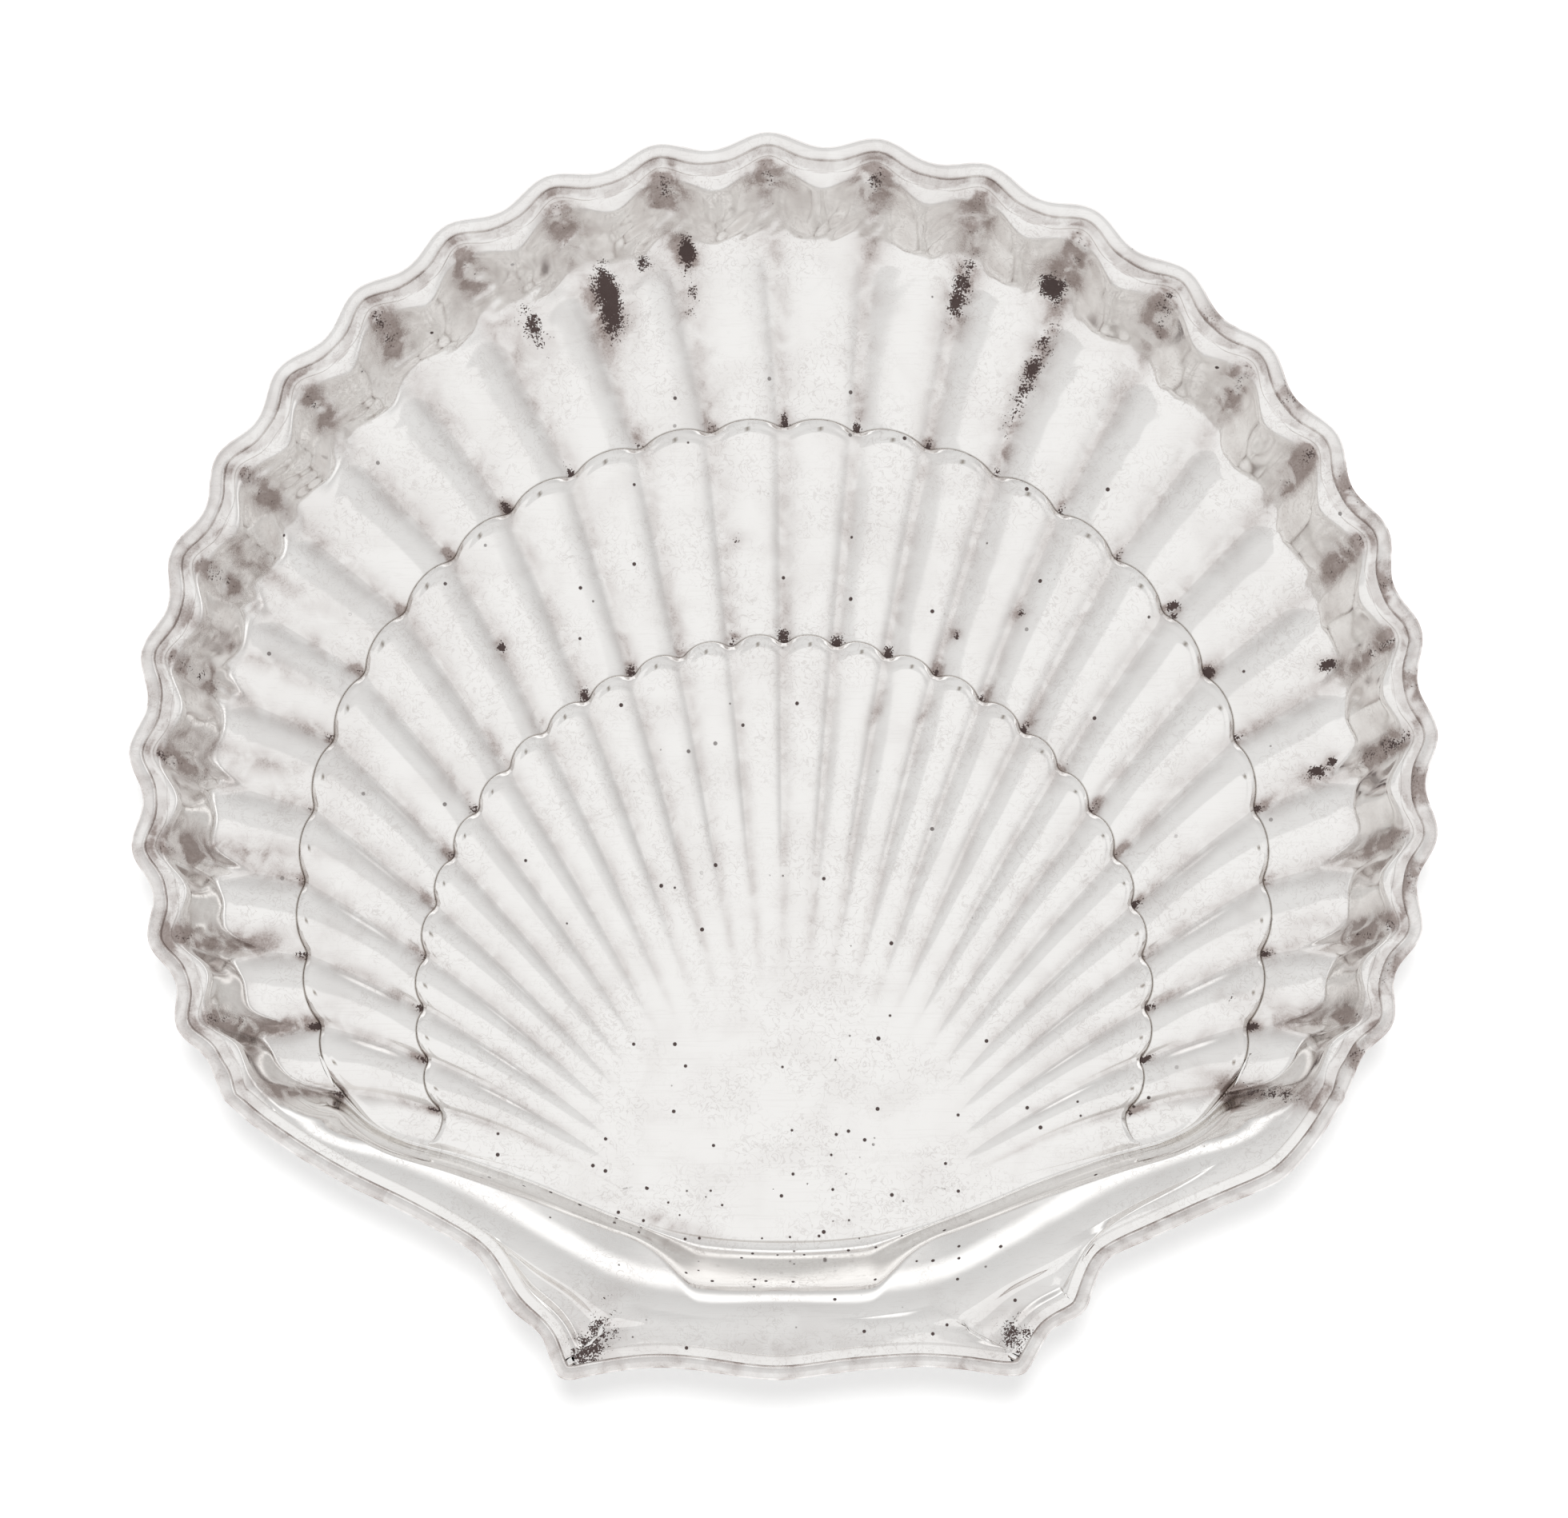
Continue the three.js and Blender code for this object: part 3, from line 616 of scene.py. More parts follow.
def behind_hub(fan, kinds):
    """Carries each floor row on behind the hub, where the step lines curl into the foot of the scoop."""
    side = fan[:, -1]
    run = np.append(0, np.cumsum(np.linalg.norm(np.diff(side[:, :2], axis=0), axis=1)))
    share = run / run[-1]
    inner = share[kinds.index("step")]
    stop = 1 - (1 - inner) * (1 - CURL_REACH * CURLED)
    bend = side[:, :2] - mix(side[0, :2], side[-1, :2], share[:, None])
    rows = []
    for row, q, off in zip(fan, share, bend):
        at = np.where(q <= inner, q * stop / inner, stop + (q - inner) / (1 - inner) * (1 - stop))
        xy = mix(BACK, SCOOP_START, at[:, None]) + off * SIDE * (1 - ease(REACH / BEND_END))[:, None]
        before_foot = np.linalg.norm(SCOOP_START - xy, axis=1)
        height = scoop_height(before_foot + SCOOP_LENGTH, row[-1, 2] * (1 - CURLED))
        rows.append(np.concatenate([row, np.column_stack([xy, mix(row[-1, 2], height, TURNED)])]))
    return rows


def ground_rows(hub):
    """Flat rows between the middle of the ground and the hub's ring."""
    rows = []
    for share in (np.arange(GROUND_ROWS) + 1) / (GROUND_ROWS + 1):
        xy = mix(np.array(GROUND_MIDDLE, float), hub[:, :2], share)
        before_foot = np.linalg.norm(SCOOP_START - xy[FAN_COLUMNS:], axis=1)
        height = scoop_height(before_foot + SCOOP_LENGTH, 0.0) * TURNED
        rows.append(np.column_stack([xy, np.append(np.zeros(FAN_COLUMNS), height)]))
    return rows


def ripple(xy):
    """Gentle hammered unevenness of the wall, from -1 to 1: waves that bend as they run."""
    x, y = xy.T
    waves = [np.sin(a * x + b * y + c * np.sin(d * x + e * y + f)) for a, b, c, d, e, f in RIPPLE_WAVES]
    return sum(waves) / len(waves)


def wall_rows(low):
    """The outer tier and the wall, which turns into the scoop across the hinge."""
    length = np.linalg.norm(CREST_LINE - STEP_FOOT, axis=1)
    gaps = [mix(length, WALL_ROWS[0], part) for part in np.linspace(0, 1, OUTER_ROWS)[1:-1]]
    rows = []
    for gap in [*gaps, *(np.full(FAN_COLUMNS, row) for row in WALL_ROWS)]:
        t = 1 - gap / length
        xy = mix(STEP_FOOT, CREST_LINE, t[:, None])
        flutes = mix(FLUTE_HEIGHTS[1], FLUTE_HEIGHTS[2], ease(t / OUTER_GROWTH)) * FORM
        ground = low + WALL_FOOT_RISE * t + flutes
        z = soft_max(ground, DISH_DEPTH - WALL_SLOPE * gap, mix(GROOVE_ROUND, CREST_ROUND, FORM))
        z = z + WALL_RIPPLE * ripple(xy) * bump(z, RIPPLE_MARGIN, DISH_DEPTH - RIPPLE_MARGIN, RIPPLE_MARGIN)
        z = soft_min(z, DISH_DEPTH, TOP_ROUND)
        w = t[-1]
        hinge = mix(SCOOP_START, SCOOP_END, w)
        height = scoop_height(SCOOP_LENGTH * (1 - w), (low + WALL_FOOT_RISE * w) * (1 - CURLED))
        height = mix(z[-1], height, TURNED)
        rows.append(np.column_stack([np.concatenate([xy, hinge]), np.concatenate([z, height])]))
    return rows


def flange_rows():
    """From the wall's crest out to the sheet's edge: a shoulder, the ears' hollows and a level band."""
    edge, wire, band = inset_lines(FLANGE_LINES)
    crest = np.concatenate([CREST_LINE, SCOOP_END])
    width = np.linalg.norm(band - crest, axis=1)
    ear = EAR_HOLLOW * np.exp(-(((REACH - EAR_PLACE) / EAR_SPREAD) ** 4))
    hollow = np.append(np.zeros(FAN_COLUMNS), ear)
    rows = []
    for t in np.linspace(0, 1, FLANGE_ROWS)[1:]:
        z = soft_min(DISH_DEPTH + WALL_SLOPE * width[:FAN_COLUMNS] * t, DISH_DEPTH, TOP_ROUND)
        scoop = scoop_height(-width[FAN_COLUMNS:] * t, 0.0)
        z = np.append(z, mix(z[-1], scoop, TURNED))
        z = z - hollow * grow(t, *EAR_START) * (1 - grow(t, *EAR_END))
        rows.append(np.column_stack([mix(crest, band, t), z]))
    level = np.full(len(EDGE), DISH_DEPTH)
    for t in BAND_ROWS:
        rows.append(np.column_stack([mix(band, wire, t), level + BAND_STEP * ease(t / BAND_STEP_SHARE)]))
    rows.append(np.column_stack([edge, level]))
    return rows


def grid_normals(grid):
    along = np.roll(grid, -1, axis=1) - np.roll(grid, 1, axis=1)
    across = np.gradient(grid, axis=0)
    normals = np.cross(along, across)
    return normals / np.maximum(np.linalg.norm(normals, axis=2, keepdims=True), 1e-9)


def sheet_mesh():
    """The sheet's upper side, and a plainer underside that has every other row and none of the steps."""
    fan, kinds, low = fan_floor()
    floor = behind_hub(fan, kinds)
    ground = ground_rows(floor[0])
    upper = [*ground, *floor, *wall_rows(low), *flange_rows()]
    names = ["tier"] * len(ground) + kinds
    names += ["outer"] * (len(upper) - len(names))
    smooth = [i for i, name in enumerate(names) if name in ("tier", "outer")]
    grid = np.array(upper)
    under = grid[sorted({*smooth[::2], smooth[-1]})]
    under = under - grid_normals(under) * SHEET
    return grid, under


def from_centre(xy, arc):
    """How far points lie from an arc's centre."""
    return np.hypot(xy[..., 0], xy[..., 1] - arc.values[1])


def add_step_wear(marks, fan, aside, cusp_strength):
    """A dark cusp and a tail at each groove, painted shade in each step's crease, and painted reflection dots.
    """
    for step in (INNER_STEP, OUTER_STEP):
        out = from_centre(fan, step) - step.values[0] - FINGERTIP * FORM
        width, length = CUSP_SIZE
        cusp = np.exp(-((aside / width) ** 2) - ((out - CUSP_PLACE) / length) ** 2) * (out > CUSP_START)
        width, length = STEP_TAIL_SIZE
        tail = np.exp(-((aside / width) ** 2)) * np.exp(-np.clip(out, 0, None) / length) * (out > 0)
        marks["soot_and_shade"] += cusp_strength * (CUSP_SOOT * cusp + STEP_TAIL_SOOT * tail)
        marks["tarnish_and_shade"] += STEP_TAIL_FILM * tail + CUSP_FILM * cusp
        # Painted shade: a dark line in each step's crease, weaker at the top of the fan than on its sides
        marks["shade_and_reflection"] += mix(*STEP_SHADE_AMOUNTS, np.abs(FAN_U) / HALF_FLUTES) * bump(out, *STEP_SHADE_BAND)
        # A dark dot behind each fingertip's lip is a painted reflection
        on_crest = np.clip((FORM - (1 - REFLECTION_DOT_SHARE)) / REFLECTION_DOT_SHARE, 0, 1)
        marks["shade_and_reflection"] += on_crest * bump(-out, *REFLECTION_DOT_ROWS, REFLECTION_DOT_SOFTNESS)


def add_wall_wear(marks, fan, aside, cloud_strength, tail_strength):
    """A light film on the wall, clouds and tails in its grooves, and a film beside the wire."""
    below = np.linalg.norm(CREST_LINE - fan[:, :, :2], axis=2)
    below *= np.sign(from_centre(CREST_LINE, RIM) - from_centre(fan, RIM))
    sideways = np.abs(fan[:, :, 0]) / CREST.values[0]
    cloud = cloud_strength * np.exp(-((aside / mix(*CLOUD_WIDTHS, sideways)) ** 2))
    ends = mix(1, CLOUD_END, grow(np.abs(FAN_U), *CLOUD_END_FLUTES))
    cloud *= bump(below, CLOUD_TOP, mix(*CLOUD_DEPTHS, sideways), CLOUD_SOFTNESS) * ends
    width, length = WALL_TAIL_SIZE
    tail = tail_strength * np.exp(-((aside / width) ** 2)) * np.exp(-np.clip(below, 0, None) / length)
    tail *= below > CLOUD_TOP
    marks["tarnish_and_shade"] += (
        WALL_FILM * bump(below, *WALL_BAND) + mix(*CLOUD_FILM, sideways) * cloud + WALL_TAIL_FILM * tail
        + BAND_FILM * (below < BAND_FILM_START)
    )
    marks["soot_and_shade"] += CLOUD_SOOT * cloud + WALL_TAIL_SOOT * tail


def spot(grid, x, y, length, width):
    """1 at a place, falling to 0 around it. The spot is long on the line from the fan's heart."""
    way = np.array([x - HEART[0], y - HEART[1]], float)
    way /= np.linalg.norm(way)
    off = grid[:, :, :2] - [x, y]
    along, across = off @ way, off @ [way[1], -way[0]]
    return np.exp(-((2 * along / length) ** 2 + (2 * across / width) ** 2))


def wear(grid):
    """How the sheet has aged, tarnish, soot and pits, with painted shade in creases and painted reflection
    dots, each from 0 to 1.
    """
    fan = grid[:, :FAN_COLUMNS]
    groove = np.round(FAN_U)
    strength = np.random.default_rng(WEAR_SEED).uniform(*MARK_STRENGTH, (3, 2 * HALF_FLUTES + 1))
    strength[1:, [0, -1]] = END_STRENGTH
    cusp_strength, cloud_strength, tail_strength = strength[:, (groove + HALF_FLUTES).astype(int)]
    from_heart = np.hypot(fan[:, :, 0] - HEART[0], fan[:, :, 1] - HEART[1])
    aside = (FAN_U - groove) * np.radians(GROOVE_TURN) * from_heart
    risen = ease((from_centre(fan, HUB) - HUB_RADIUS) / GROOVE_FILM_REACH)
    marks = {name: np.zeros(fan.shape[:2]) for name in ("tarnish_and_shade", "soot_and_shade", "shade_and_reflection", "pits")}
    marks["tarnish_and_shade"] += GROOVE_FILM * (1 - FORM) ** GROOVE_FILM_POWER * risen
    add_step_wear(marks, fan, aside, cusp_strength)
    add_wall_wear(marks, fan, aside, cloud_strength, tail_strength)
    for name, values in marks.items():
        ends = 1 - ease(REACH / (SHADE_AND_REFLECTION_END if name == "shade_and_reflection" else WEAR_END))
        marks[name] = np.concatenate([values, values[:, -1:] * ends], axis=1)
    to_scoop = np.linalg.norm(grid[:, FAN_COLUMNS:, :2] - SCOOP_START, axis=2)
    # Painted shade along the foot of the scoop in the hinge's middle
    marks["shade_and_reflection"][:, FAN_COLUMNS:] += SCOOP_SHADE * bump(to_scoop, *SCOOP_SHADE_BAND) * IN_MIDDLE
    for x, y, length, width, amount in SOOT_SPOTS:
        marks["soot_and_shade"] += amount * spot(grid, x, y, length, width)
        halo = spot(grid, x, y, HALO_SIZE[0] * length, HALO_SIZE[1] * width)
        marks["tarnish_and_shade"] += HALO_FILM * amount * halo
    for name, rows in (("tarnish_and_shade", FILM_SPOTS), ("pits", PIT_SPOTS)):
        for x, y, length, width, amount in rows:
            marks[name] += amount * spot(grid, x, y, length, width)
    return {name: np.clip(values, 0, 1) for name, values in marks.items()}


def to_frame(points):
    """From millimetres about the fan's centre line to the model's frame in metres."""
    return (np.asarray(points) + [*SHIFT, FLOOR_HEIGHT]) * MM


def ring_faces(rows, columns, first=0, flip=False):
    """Quads between rows of a ring of columns."""
    i, j = np.meshgrid(np.arange(rows - 1), np.arange(columns), indexing="ij")
    after = (j + 1) % columns
    corners = [i * columns + j, i * columns + after, (i + 1) * columns + after, (i + 1) * columns + j]
    quads = np.stack(corners, axis=-1).reshape(-1, 4) + first
    return quads[:, ::-1] if flip else quads


def end_fans(columns, first, first_point, last, last_point):
    """Triangles that close a ring mesh: from its first row to one point, and from its last row to another."""
    faces = []
    for j in range(columns):
        after = (j + 1) % columns
        faces.append((first_point, first + after, first + j))
        faces.append((last_point, last + j, last + after))
    return faces


def add_mesh(name, points, faces):
    mesh = bpy.data.meshes.new(name)
    mesh.from_pydata([tuple(point) for point in points], [], [tuple(map(int, face)) for face in faces])
    mesh.shade_smooth()
    obj = bpy.data.objects.new(name, mesh)
    bpy.context.scene.collection.objects.link(obj)
    return obj


def store(obj, name, values):
    """Keeps one value for each of a mesh's first points, which its material reads. The other points get 0."""
    every = np.zeros(len(obj.data.vertices))
    values = np.ravel(values)
    every[: len(values)] = values
    obj.data.attributes.new(name, "FLOAT", "POINT").data.foreach_set("value", every)


def box_of(node):
    low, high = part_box(node)
    return np.array(low), np.array(high)


FLOOR_HEIGHT = box_of("border_wire")[0][2] / MM - DISH_DEPTH


def build_body():
    """The one closed sheet, with its wear."""
    grid, under = sheet_mesh()
    columns = grid.shape[1]
    middle = np.array([[*GROUND_MIDDLE, 0.0], [*GROUND_MIDDLE, -SHEET]])
    points = np.concatenate([grid.reshape(-1, 3), under[::-1].reshape(-1, 3), middle])
    rows = len(grid) + len(under)
    faces = ring_faces(rows, columns).tolist()
    faces += end_fans(columns, 0, len(points) - 2, (rows - 1) * columns, len(points) - 1)
    sheet = add_mesh("shell_sheet", to_frame(points), faces)
    for name, values in wear(grid).items():
        store(sheet, name, values)
    return sheet


def build_wire():
    """The half-round border wire, soldered flush with the outline. Its crest lies near its outer side."""
    turns = np.linspace(0, np.pi, WIRE_ROWS)
    insets = mix(EDGE_INSET, WIRE_WIDTH, ((1 - np.cos(turns)) / 2) ** WIRE_LEAN)
    heights = mix(WIRE_SIDE, WIRE_HEIGHT, np.sin(turns))
    base = inset_lines(FLANGE_LINES[:1])[0]
    rings = inset_lines(insets)
    rows = [np.column_stack([base, np.full(len(base), DISH_DEPTH - WIRE_BITE)])]
    rows += [np.column_stack([ring, np.full(len(ring), DISH_DEPTH + h)]) for ring, h in zip(rings, heights)]
    rows.append(np.column_stack([rings[-1], np.full(len(base), DISH_DEPTH)]))
    grid = np.array(rows)
    faces = ring_faces(len(grid) + 1, grid.shape[1], flip=True) % (len(grid) * grid.shape[1])
    wire = add_mesh("border_roll", to_frame(grid.reshape(-1, 3)), faces)
    # Painted shade darkens the wire towards both sides, and painted light leaves less film at its top
    side = np.abs(np.linspace(-1, 1, len(rows)))[:, None]
    notches = np.append(wave_form(FAN_U), np.zeros(HINGE_COLUMNS))
    notch = grow(grid[:, :, 0], *NOTCH_FADE) * notches**2
    film_and_shade = WIRE_FILM * mix(1, WIRE_FILM_LIT_TOP, grow(grid[:, :, 1], *WIRE_LIT_TOP_FADE))
    film_and_shade = WIRE_SIDE_SHADE * grow(side, *WIRE_SIDE_SHADE_SHARES) + NOTCH_FILM * notch + film_and_shade
    store(wire, "tarnish_and_shade", np.clip(film_and_shade, 0, 1))
    store(wire, "soot_and_shade", WIRE_SIDE_DARK_SHADE * grow(side, *WIRE_SIDE_DARK_SHADE_SHARES) + NOTCH_SOOT * notch)
    return wire


def spun(name, rings):
    """A closed solid from rings of points, of which the first and the last are single points."""
    count = len(rings[1])
    points = np.concatenate([rings[0], *rings[1:-1], rings[-1]])
    faces = ring_faces(len(rings) - 2, count, first=1).tolist()
    faces += end_fans(count, 1, 0, 1 + (len(rings) - 3) * count, len(points) - 1)
    return add_mesh(name, points, faces)


def circle(centre, radius, height):
    """A ring of points seen from above, or one point where the radius is 0. Sizes are in metres."""
    if radius == 0:
        return np.array([[*centre, height]])
    turns = 2 * np.pi * np.arange(FOOT_SEGMENTS) / FOOT_SEGMENTS
    x, y = centre[0] + radius * np.cos(turns), centre[1] + radius * np.sin(turns)
    return np.column_stack([x, y, np.full(FOOT_SEGMENTS, height)])


def build_pad(side, sheet_tree):
    """A thin solder pad, whose upper side follows the sheet above it."""
    low, high = box_of(f"foot_pad_{side}")
    centre, radius, bottom = (low + high)[:2] / 2, (high - low)[0] / 2, low[2]
    rings = [circle(centre, 0, bottom)]
    for inset in PAD_INSETS:
        rings.append(circle(centre, radius - inset * MM, bottom))
    for turn in np.radians(PAD_TURNS):
        inset = PAD_CHAMFER * (1 - math.sin(turn))
        rings.append(circle(centre, radius - inset * MM, bottom + PAD_CHAMFER * (1 - math.cos(turn)) * MM))
    for share in PAD_SHARES:
        ring = circle(centre, radius * share, bottom)
        for point in ring:
            hit = sheet_tree.ray_cast(Vector(point), Vector((0, 0, 1)))[0]
            point[2] = hit.z + PAD_BITE * MM
        rings.append(ring)
    return spun(f"solder_pad_{side}", rings)


def build_foot(side):
    """A turned ball foot with a worn seat, a short neck and a collar of solder."""
    low, high = box_of(f"foot_{side}")
    centre = (low + high)[:2] / 2
    ball = (high - low)[0] / 2 / MM
    middle = math.sqrt(ball**2 - BALL_SEAT**2)
    profile = [(0, 0), (BALL_SEAT / 2, 0), *((BALL_SEAT + out, up) for out, up in SEAT_EDGE)]
    start, end = math.asin(BALL_SEAT / ball) + SEAT_TURN, math.pi - math.asin(NECK_RADIUS / ball)
    for turn in np.linspace(start, end, BALL_ROWS):
        profile.append((ball * math.sin(turn), middle - ball * math.cos(turn)))
    neck = middle - ball * math.cos(end)
    top = high[2] / MM
    for share in NECK_ROWS:
        flare = NECK_FLARE * grow(share, FLARE_SHARE, FLARE_SHARE) ** 2
        profile.append((NECK_RADIUS + flare, mix(neck, top, share)))
    profile.append((0, top))
    return spun(f"ball_{side}", [circle(centre, radius * MM, height * MM) for radius, height in profile])


def finish_piece(obj, node, material):
    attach(obj, "root")
    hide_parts(node)
    obj.data.materials.append(material)


class Nodes:
    """A tree of shader nodes, with short ways to add to it. Its textures lie in the object's own place."""

    def __init__(self, tree):
        self.tree = tree
        self.place = None

    def add(self, kind, *inputs, **settings):
        """Adds a node. Its inputs are values or sockets, in order, and None leaves one as it is."""
        made = self.tree.nodes.new("ShaderNode" + kind)
        for setting, value in settings.items():
            setattr(made, setting, value)
        for socket, value in zip(made.inputs, inputs):
            self.set(socket, value)
        return made

    def set(self, socket, value):
        if isinstance(value, bpy.types.NodeSocket):
            self.tree.links.new(value, socket)
        elif value is not None:
            socket.default_value = value

    def math(self, operation, a, b, clamp=False):
        return self.add("Math", a, b, operation=operation, use_clamp=clamp).outputs[0]

    def attribute(self, name):
        return self.add("Attribute", attribute_name=name).outputs["Fac"]

    def noise(self, size, detail=2.0, distortion=0.0, place=None):
        """Noise whose lumps are about as large as a size in millimetres."""
        made = self.add("TexNoise", place or self.place)
        made.inputs["Scale"].default_value = 1 / (size * MM)
        made.inputs["Detail"].default_value = detail
        made.inputs["Distortion"].default_value = distortion
        return made.outputs["Fac"]

    def ramp(self, value, zero, one):
        """0 from one value outward, 1 from the other outward, and smooth between."""
        made = self.add("MapRange", value, zero, one, interpolation_type="SMOOTHSTEP")
        return made.outputs["Result"]

    def blend(self, factor, first, second):
        made = self.add("MixRGB", factor)
        for socket, colour in zip(made.inputs[1:], (first, second)):
            self.set(socket, (*colour, 1) if isinstance(colour, tuple) else colour)
        return made.outputs["Color"]


def new_material(name, bare=False):
    """A material and its nodes: Blender's first two, or none in a bare one."""
    material = bpy.data.materials.new(name)
    material.use_nodes = True
    if bare:
        material.node_tree.nodes.clear()
    return material, Nodes(material.node_tree)


def mottling(nodes):
    """Thin wandering lines, in patches."""
    patches = nodes.ramp(nodes.noise(*PATCH_NOISE), *PATCH_CUT)
    contour = nodes.math("ABSOLUTE", nodes.math("SUBTRACT", nodes.noise(*SQUIGGLE_NOISE), 0.5), None)
    return nodes.math("MULTIPLY", nodes.ramp(contour, *SQUIGGLE_CUT), patches)


def hairlines(nodes):
    """Fine polishing scratches in two directions."""
    hairs = []
    for turn in HAIR_TURNS:
        place = nodes.add("Mapping", nodes.place, None, (0, 0, turn), (HAIR_STRETCH, 1, 1)).outputs[0]
        hairs.append(nodes.ramp(nodes.noise(*HAIR_NOISE, place), *HAIR_CUT))
    return nodes.math("MAXIMUM", *hairs)


def tarnish_film(nodes):
    """The painted tarnish, with the wire's painted shade and light, broken up into lumps, and a thin haze all
    over.
    """
    lumps = nodes.ramp(nodes.noise(*LUMP_NOISE), *LUMP_CUT)
    film_and_shade = nodes.attribute("tarnish_and_shade")
    film_and_shade = nodes.math("MULTIPLY", film_and_shade, nodes.math("ADD", lumps, LUMP_LEAST), clamp=True)
    haze = nodes.math("MULTIPLY", nodes.ramp(nodes.noise(*HAZE_NOISE), *HAZE_CUT), HAZE_AMOUNT)
    return nodes.math("ADD", film_and_shade, haze, clamp=True)


def grain(nodes):
    """Fine and coarse noise, added up by their shares."""
    fine = nodes.math("MULTIPLY", nodes.noise(*FINE_GRAIN), FINE_SHARE)
    return nodes.math("ADD", fine, nodes.math("MULTIPLY", nodes.noise(*COARSE_GRAIN), COARSE_SHARE))


def soot_specks(nodes, grains):
    """Specks where the grain is high. The more soot and painted shade on the wire's sides, the lower it may
    be.
    """
    amount = nodes.attribute("soot_and_shade")
    edge = nodes.math("SUBTRACT", SOOT_EDGE[0], nodes.math("MULTIPLY", amount, SOOT_EDGE[1]))
    specks = nodes.ramp(nodes.math("SUBTRACT", grains, edge), *SOOT_CUT)
    return nodes.math("MULTIPLY", specks, nodes.ramp(amount, *SOOT_START))


def pit_dots(nodes):
    """Round pits, one in each picked cell. More cells are picked where more pits are painted."""
    cells = nodes.add("TexVoronoi", nodes.place)
    cells.inputs["Scale"].default_value = 1 / (PIT_CELL * MM)
    pick = nodes.add("SeparateColor", cells.outputs["Color"]).outputs[0]
    over = nodes.math("SUBTRACT", nodes.math("ADD", pick, nodes.attribute("pits")), 1)
    picked = nodes.ramp(over, *PIT_PICK)
    size = nodes.math("SUBTRACT", cells.outputs["Distance"], nodes.math("MULTIPLY", pick, PIT_GROWTH))
    return nodes.math("MULTIPLY", picked, nodes.ramp(size, *PIT_CUT))


def silver(name, base, roughness, mottle=1.0):
    """Old silver: hairlines and mottling all over, and tarnish, soot, pits, painted shade and painted
    reflection dots where painted.
    """
    material, nodes = new_material(name)
    nodes.place = nodes.add("TexCoord").outputs["Object"]
    squiggles = mottling(nodes)
    hairs = hairlines(nodes)
    film_and_shade = tarnish_film(nodes)
    grains = grain(nodes)
    # Soot and pits make dark specks that are not metal. On the wire's sides they are painted shade
    dirt_and_shade = nodes.math("MAXIMUM", soot_specks(nodes, grains), pit_dots(nodes))
    # Painted shade in the creases and painted reflection dots, read from the mesh
    shade_and_reflection = nodes.attribute("shade_and_reflection")
    brown = nodes.ramp(nodes.math("ADD", film_and_shade, nodes.math("MULTIPLY", grains, BROWN_GRAIN)), *BROWN_CUT)

    covers = (
        (squiggles, mottle * MOTTLE_AMOUNT, MOTTLE_COLOUR), (hairs, HAIR_AMOUNT, MOTTLE_COLOUR),
        (film_and_shade, FILM_AND_SHADE_AMOUNT, FILM_AND_SHADE_COLOUR), (brown, BROWN_AMOUNT, BROWN_COLOUR),
        (shade_and_reflection, SHADE_AND_REFLECTION_AMOUNT, SHADE_AND_REFLECTION_COLOUR),
    )
    colour = base
    for cover, amount, cover_colour in covers:
        colour = nodes.blend(nodes.math("MULTIPLY", cover, amount), colour, cover_colour)
    colour = nodes.blend(dirt_and_shade, colour, SOOT_AND_SHADE_COLOUR)
    rough = nodes.math("ADD", roughness, nodes.math("MULTIPLY", film_and_shade, FILM_ROUGHNESS))
    rough = nodes.math("ADD", rough, nodes.math("MULTIPLY", squiggles, MOTTLE_ROUGHNESS))
    rough = nodes.math("ADD", rough, nodes.math("MULTIPLY", dirt_and_shade, DIRT_ROUGHNESS), clamp=True)
    dents = nodes.add("Bump")
    dents.inputs["Strength"].default_value = 1
    dents.inputs["Distance"].default_value = DENT_DEPTH * MM
    nodes.set(dents.inputs["Height"], nodes.noise(*DENT_NOISE))
    shader = nodes.tree.nodes["Principled BSDF"].inputs
    nodes.set(shader["Base Color"], colour)
    nodes.set(shader["Metallic"], nodes.math("SUBTRACT", 1, dirt_and_shade))
    nodes.set(shader["Roughness"], rough)
    nodes.set(shader["Normal"], dents.outputs[0])
    return material


def build_tray():
    sheet_silver = silver("sheet_silver", SHEET_COLOUR, SHEET_ROUGHNESS)
    wire_silver = silver("wire_silver", WIRE_COLOUR, WIRE_ROUGHNESS, WIRE_MOTTLE)
    pad_silver = silver("pad_silver", PAD_COLOUR, PAD_ROUGHNESS)
    foot_silver = silver("foot_silver", FOOT_COLOUR, FOOT_ROUGHNESS)
    body = build_body()
    finish_piece(body, "shell_body", sheet_silver)
    finish_piece(build_wire(), "border_wire", wire_silver)
    polygons = [tuple(polygon.vertices) for polygon in body.data.polygons]
    sheet_tree = BVHTree.FromPolygons([vertex.co for vertex in body.data.vertices], polygons)
    for side in ("left", "right", "hinge"):
        finish_piece(build_pad(side, sheet_tree), f"foot_pad_{side}", pad_silver)
        finish_piece(build_foot(side), f"foot_{side}", foot_silver)


def stage_mesh(name, points, faces, material):
    obj = add_mesh(name, points, faces)
    obj.data.materials.append(material)
    return obj


def shown(nodes, away, seen):
    """A strength that has one value for rays that show things, to the eye or in metal, and one for others."""
    path = nodes.add("LightPath").outputs
    either = nodes.math("MAXIMUM", path["Is Camera Ray"], path["Is Glossy Ray"])
    either = nodes.math("MAXIMUM", either, path["Is Transmission Ray"])
    return nodes.add("MapRange", either, None, None, away, seen).outputs["Result"]


def white_world():
    """White where it shows, and half as strong as light, which leaves the other half to the sun."""
    world = bpy.data.worlds.new("white")
    bpy.context.scene.world = world
    world.use_nodes = True
    nodes = Nodes(world.node_tree)
    background = world.node_tree.nodes["Background"].inputs
    background["Color"].default_value = (1, 1, 1, 1)
    nodes.set(background["Strength"], shown(nodes, WORLD_LIGHT, 1))


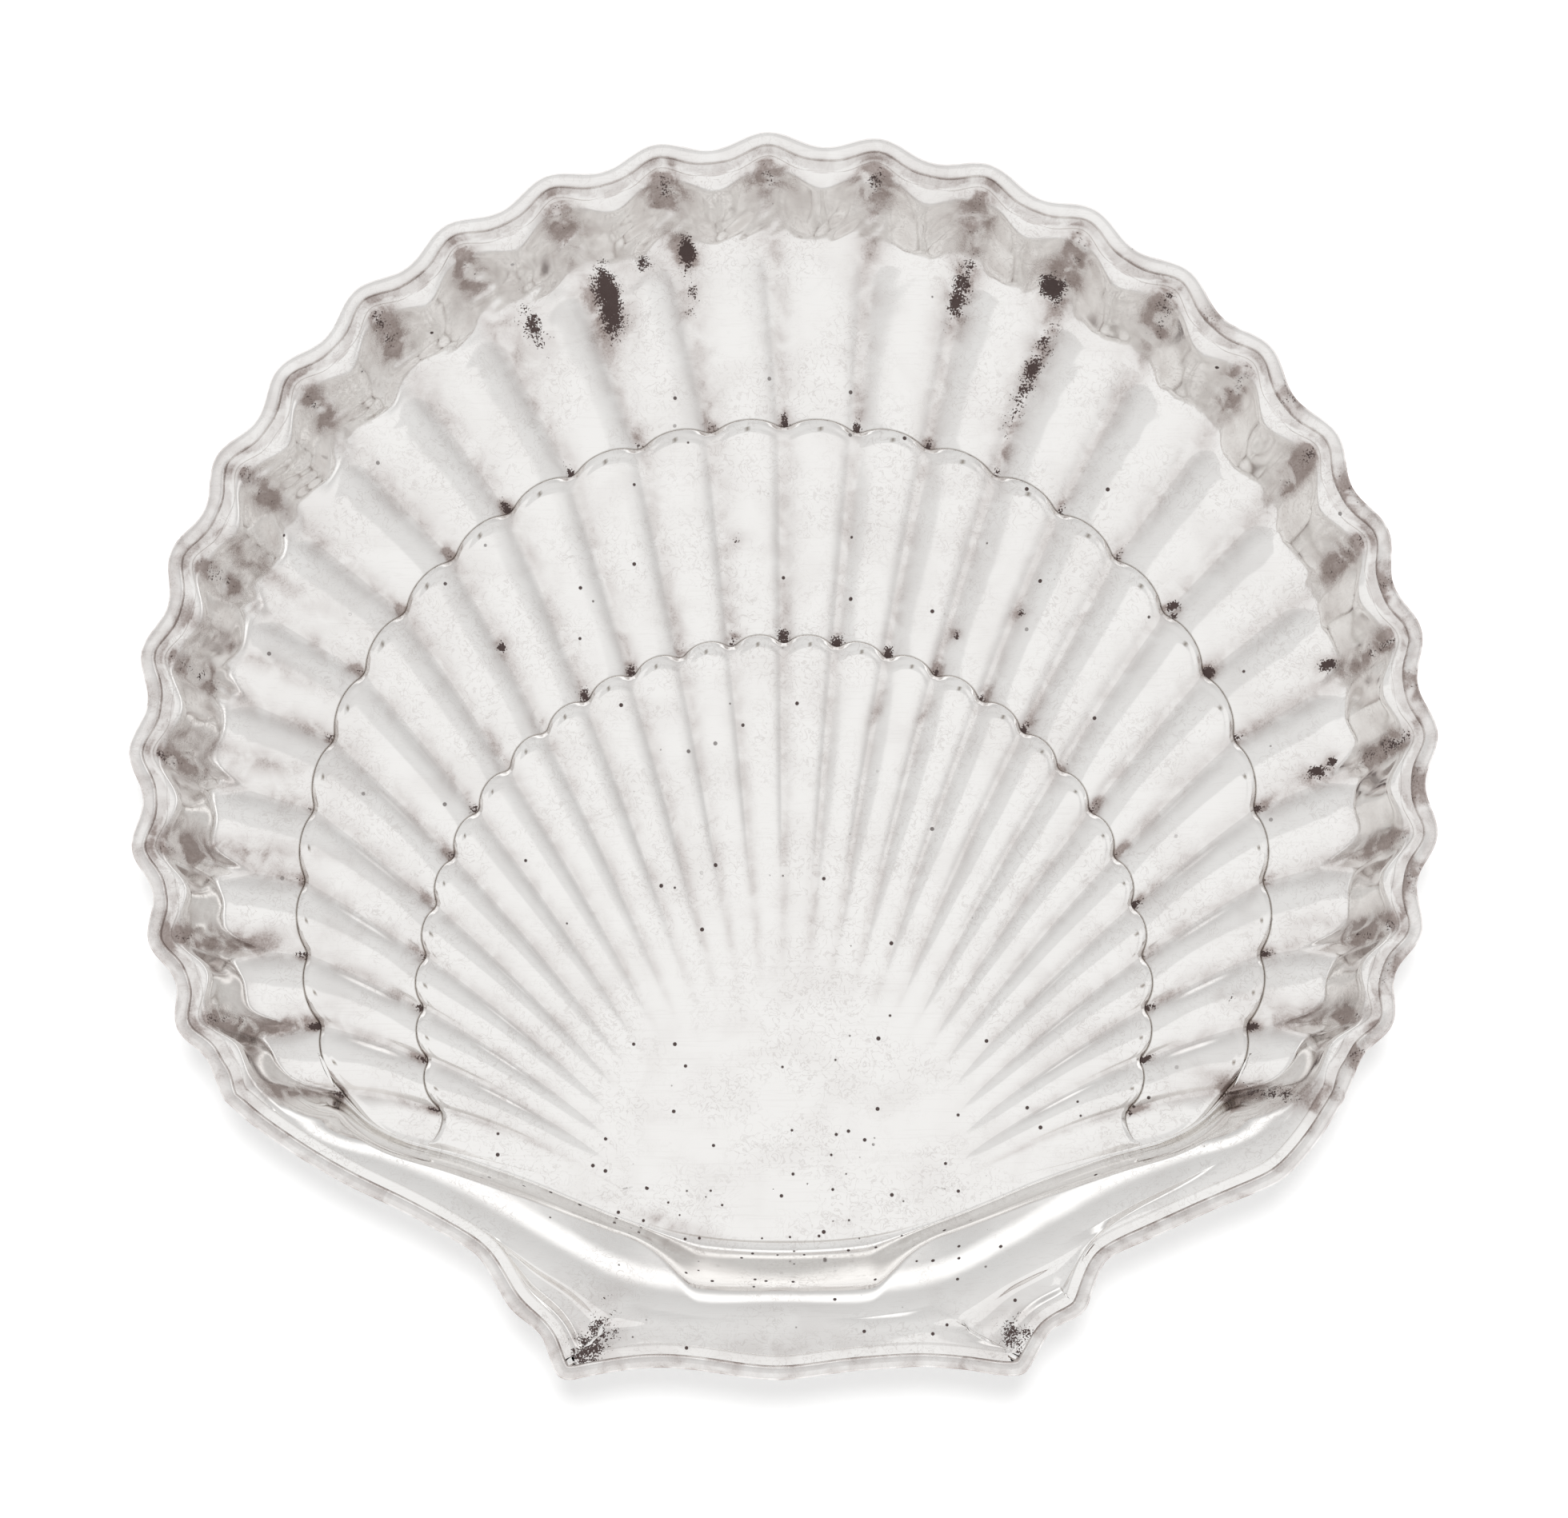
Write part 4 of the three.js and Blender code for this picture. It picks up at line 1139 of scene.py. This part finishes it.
def build_floor():
    """White paper, lifted to white where it shows, so that it keeps the tray's shadow."""
    material, nodes = new_material("white_paper", bare=True)
    paper = nodes.add("BsdfDiffuse", FLOOR_COLOUR)
    glow = nodes.add("Emission", None, shown(nodes, 0, FLOOR_LIFT))
    both = nodes.add("AddShader", paper.outputs[0], glow.outputs[0])
    nodes.add("OutputMaterial", both.outputs[0])
    corners = [(x * FLOOR_REACH, y * FLOOR_REACH, 0) for x, y in ((-1, -1), (1, -1), (1, 1), (-1, 1))]
    stage_mesh("floor", corners, [(0, 1, 2, 3)], material)


def place_camera():
    tilt = math.radians(CAMERA_TILT)
    target = Vector((SHIFT[0], CAMERA_AIM, CAD_HIGH.z / MM - WIRE_HEIGHT)) * MM
    to_camera = Vector((0, -math.sin(tilt), math.cos(tilt)))
    camera = bpy.data.objects.new("camera", bpy.data.cameras.new("camera"))
    camera.data.lens = CAMERA_LENS
    camera.location = target + to_camera * CAMERA_DISTANCE
    camera.rotation_euler = to_camera.to_track_quat("Z", "Y").to_euler()
    bpy.context.scene.collection.objects.link(camera)
    bpy.context.scene.camera = camera


def tent_glow(way):
    """How bright the tent is in a direction."""
    elevation = np.degrees(np.arcsin(way[:, 2]))
    azimuth = np.degrees(np.arctan2(way[:, 1], way[:, 0]))
    far_way = np.radians(FAR_HALF_AZIMUTH)
    past = np.degrees(np.arcsin(way[:, 0] * np.cos(far_way) + way[:, 1] * np.sin(far_way)))
    width = mix(EDGE_WIDTH, SOFT_EDGE_WIDTH, grow(way[:, 0], *SOFT_EDGE_FADE))
    glow = 1 - (1 - FAR_HALF_GLOW) * ease((past - EDGE_OFFSET) / width + 0.5)
    at_side = ease(np.cos(np.radians(azimuth - SIDE_AZIMUTH)) + SIDE_WIDENING)
    glow = mix(glow, SIDE_GLOW, (1 - grow(elevation, *SIDE_ELEVATION)) * at_side)
    window = bump(elevation, *WINDOW_ELEVATION, WINDOW_SOFT) * bump(azimuth, *WINDOW_AZIMUTH, WINDOW_SIDES)
    glow = mix(glow, WINDOW_GLOW, window)
    return mix(HORIZON_GLOW, glow, ease(elevation / HORIZON_TOP))


def build_tent():
    """A glowing dome that only the silver sees. It is open to the white world below, and casts no shadow."""
    material, nodes = new_material("tent_cloth", bare=True)
    cloth = nodes.add("Emission", None, nodes.attribute("glow"))
    nodes.add("OutputMaterial", cloth.outputs[0])
    material.cycles.emission_sampling = "NONE"
    azimuths = np.radians(np.arange(0, 360, TENT_COLUMN))
    flat, up = np.meshgrid(azimuths, np.radians(TENT_RINGS))
    ways = np.stack([np.cos(up) * np.cos(flat), np.cos(up) * np.sin(flat), np.sin(up)], axis=-1)
    ways = ways.reshape(-1, 3)
    tent = stage_mesh("tent", ways * TENT_RADIUS, ring_faces(len(TENT_RINGS), len(azimuths)), material)
    store(tent, "glow", tent_glow(ways))
    tent.visible_camera = False
    tent.visible_diffuse = False
    tent.visible_shadow = False


def add_sun():
    sun = bpy.data.objects.new("sun", bpy.data.lights.new("sun", "SUN"))
    sun.data.energy = SUN_STRENGTH
    sun.data.angle = math.radians(SUN_SIZE)
    sun.rotation_euler = (math.radians(SUN_ELEVATION - 90), 0, 0)
    sun.visible_glossy = False
    bpy.context.scene.collection.objects.link(sun)


build_tray()
white_world()
build_floor()
place_camera()
build_tent()
add_sun()

bpy.context.scene.view_settings.view_transform = "Standard"
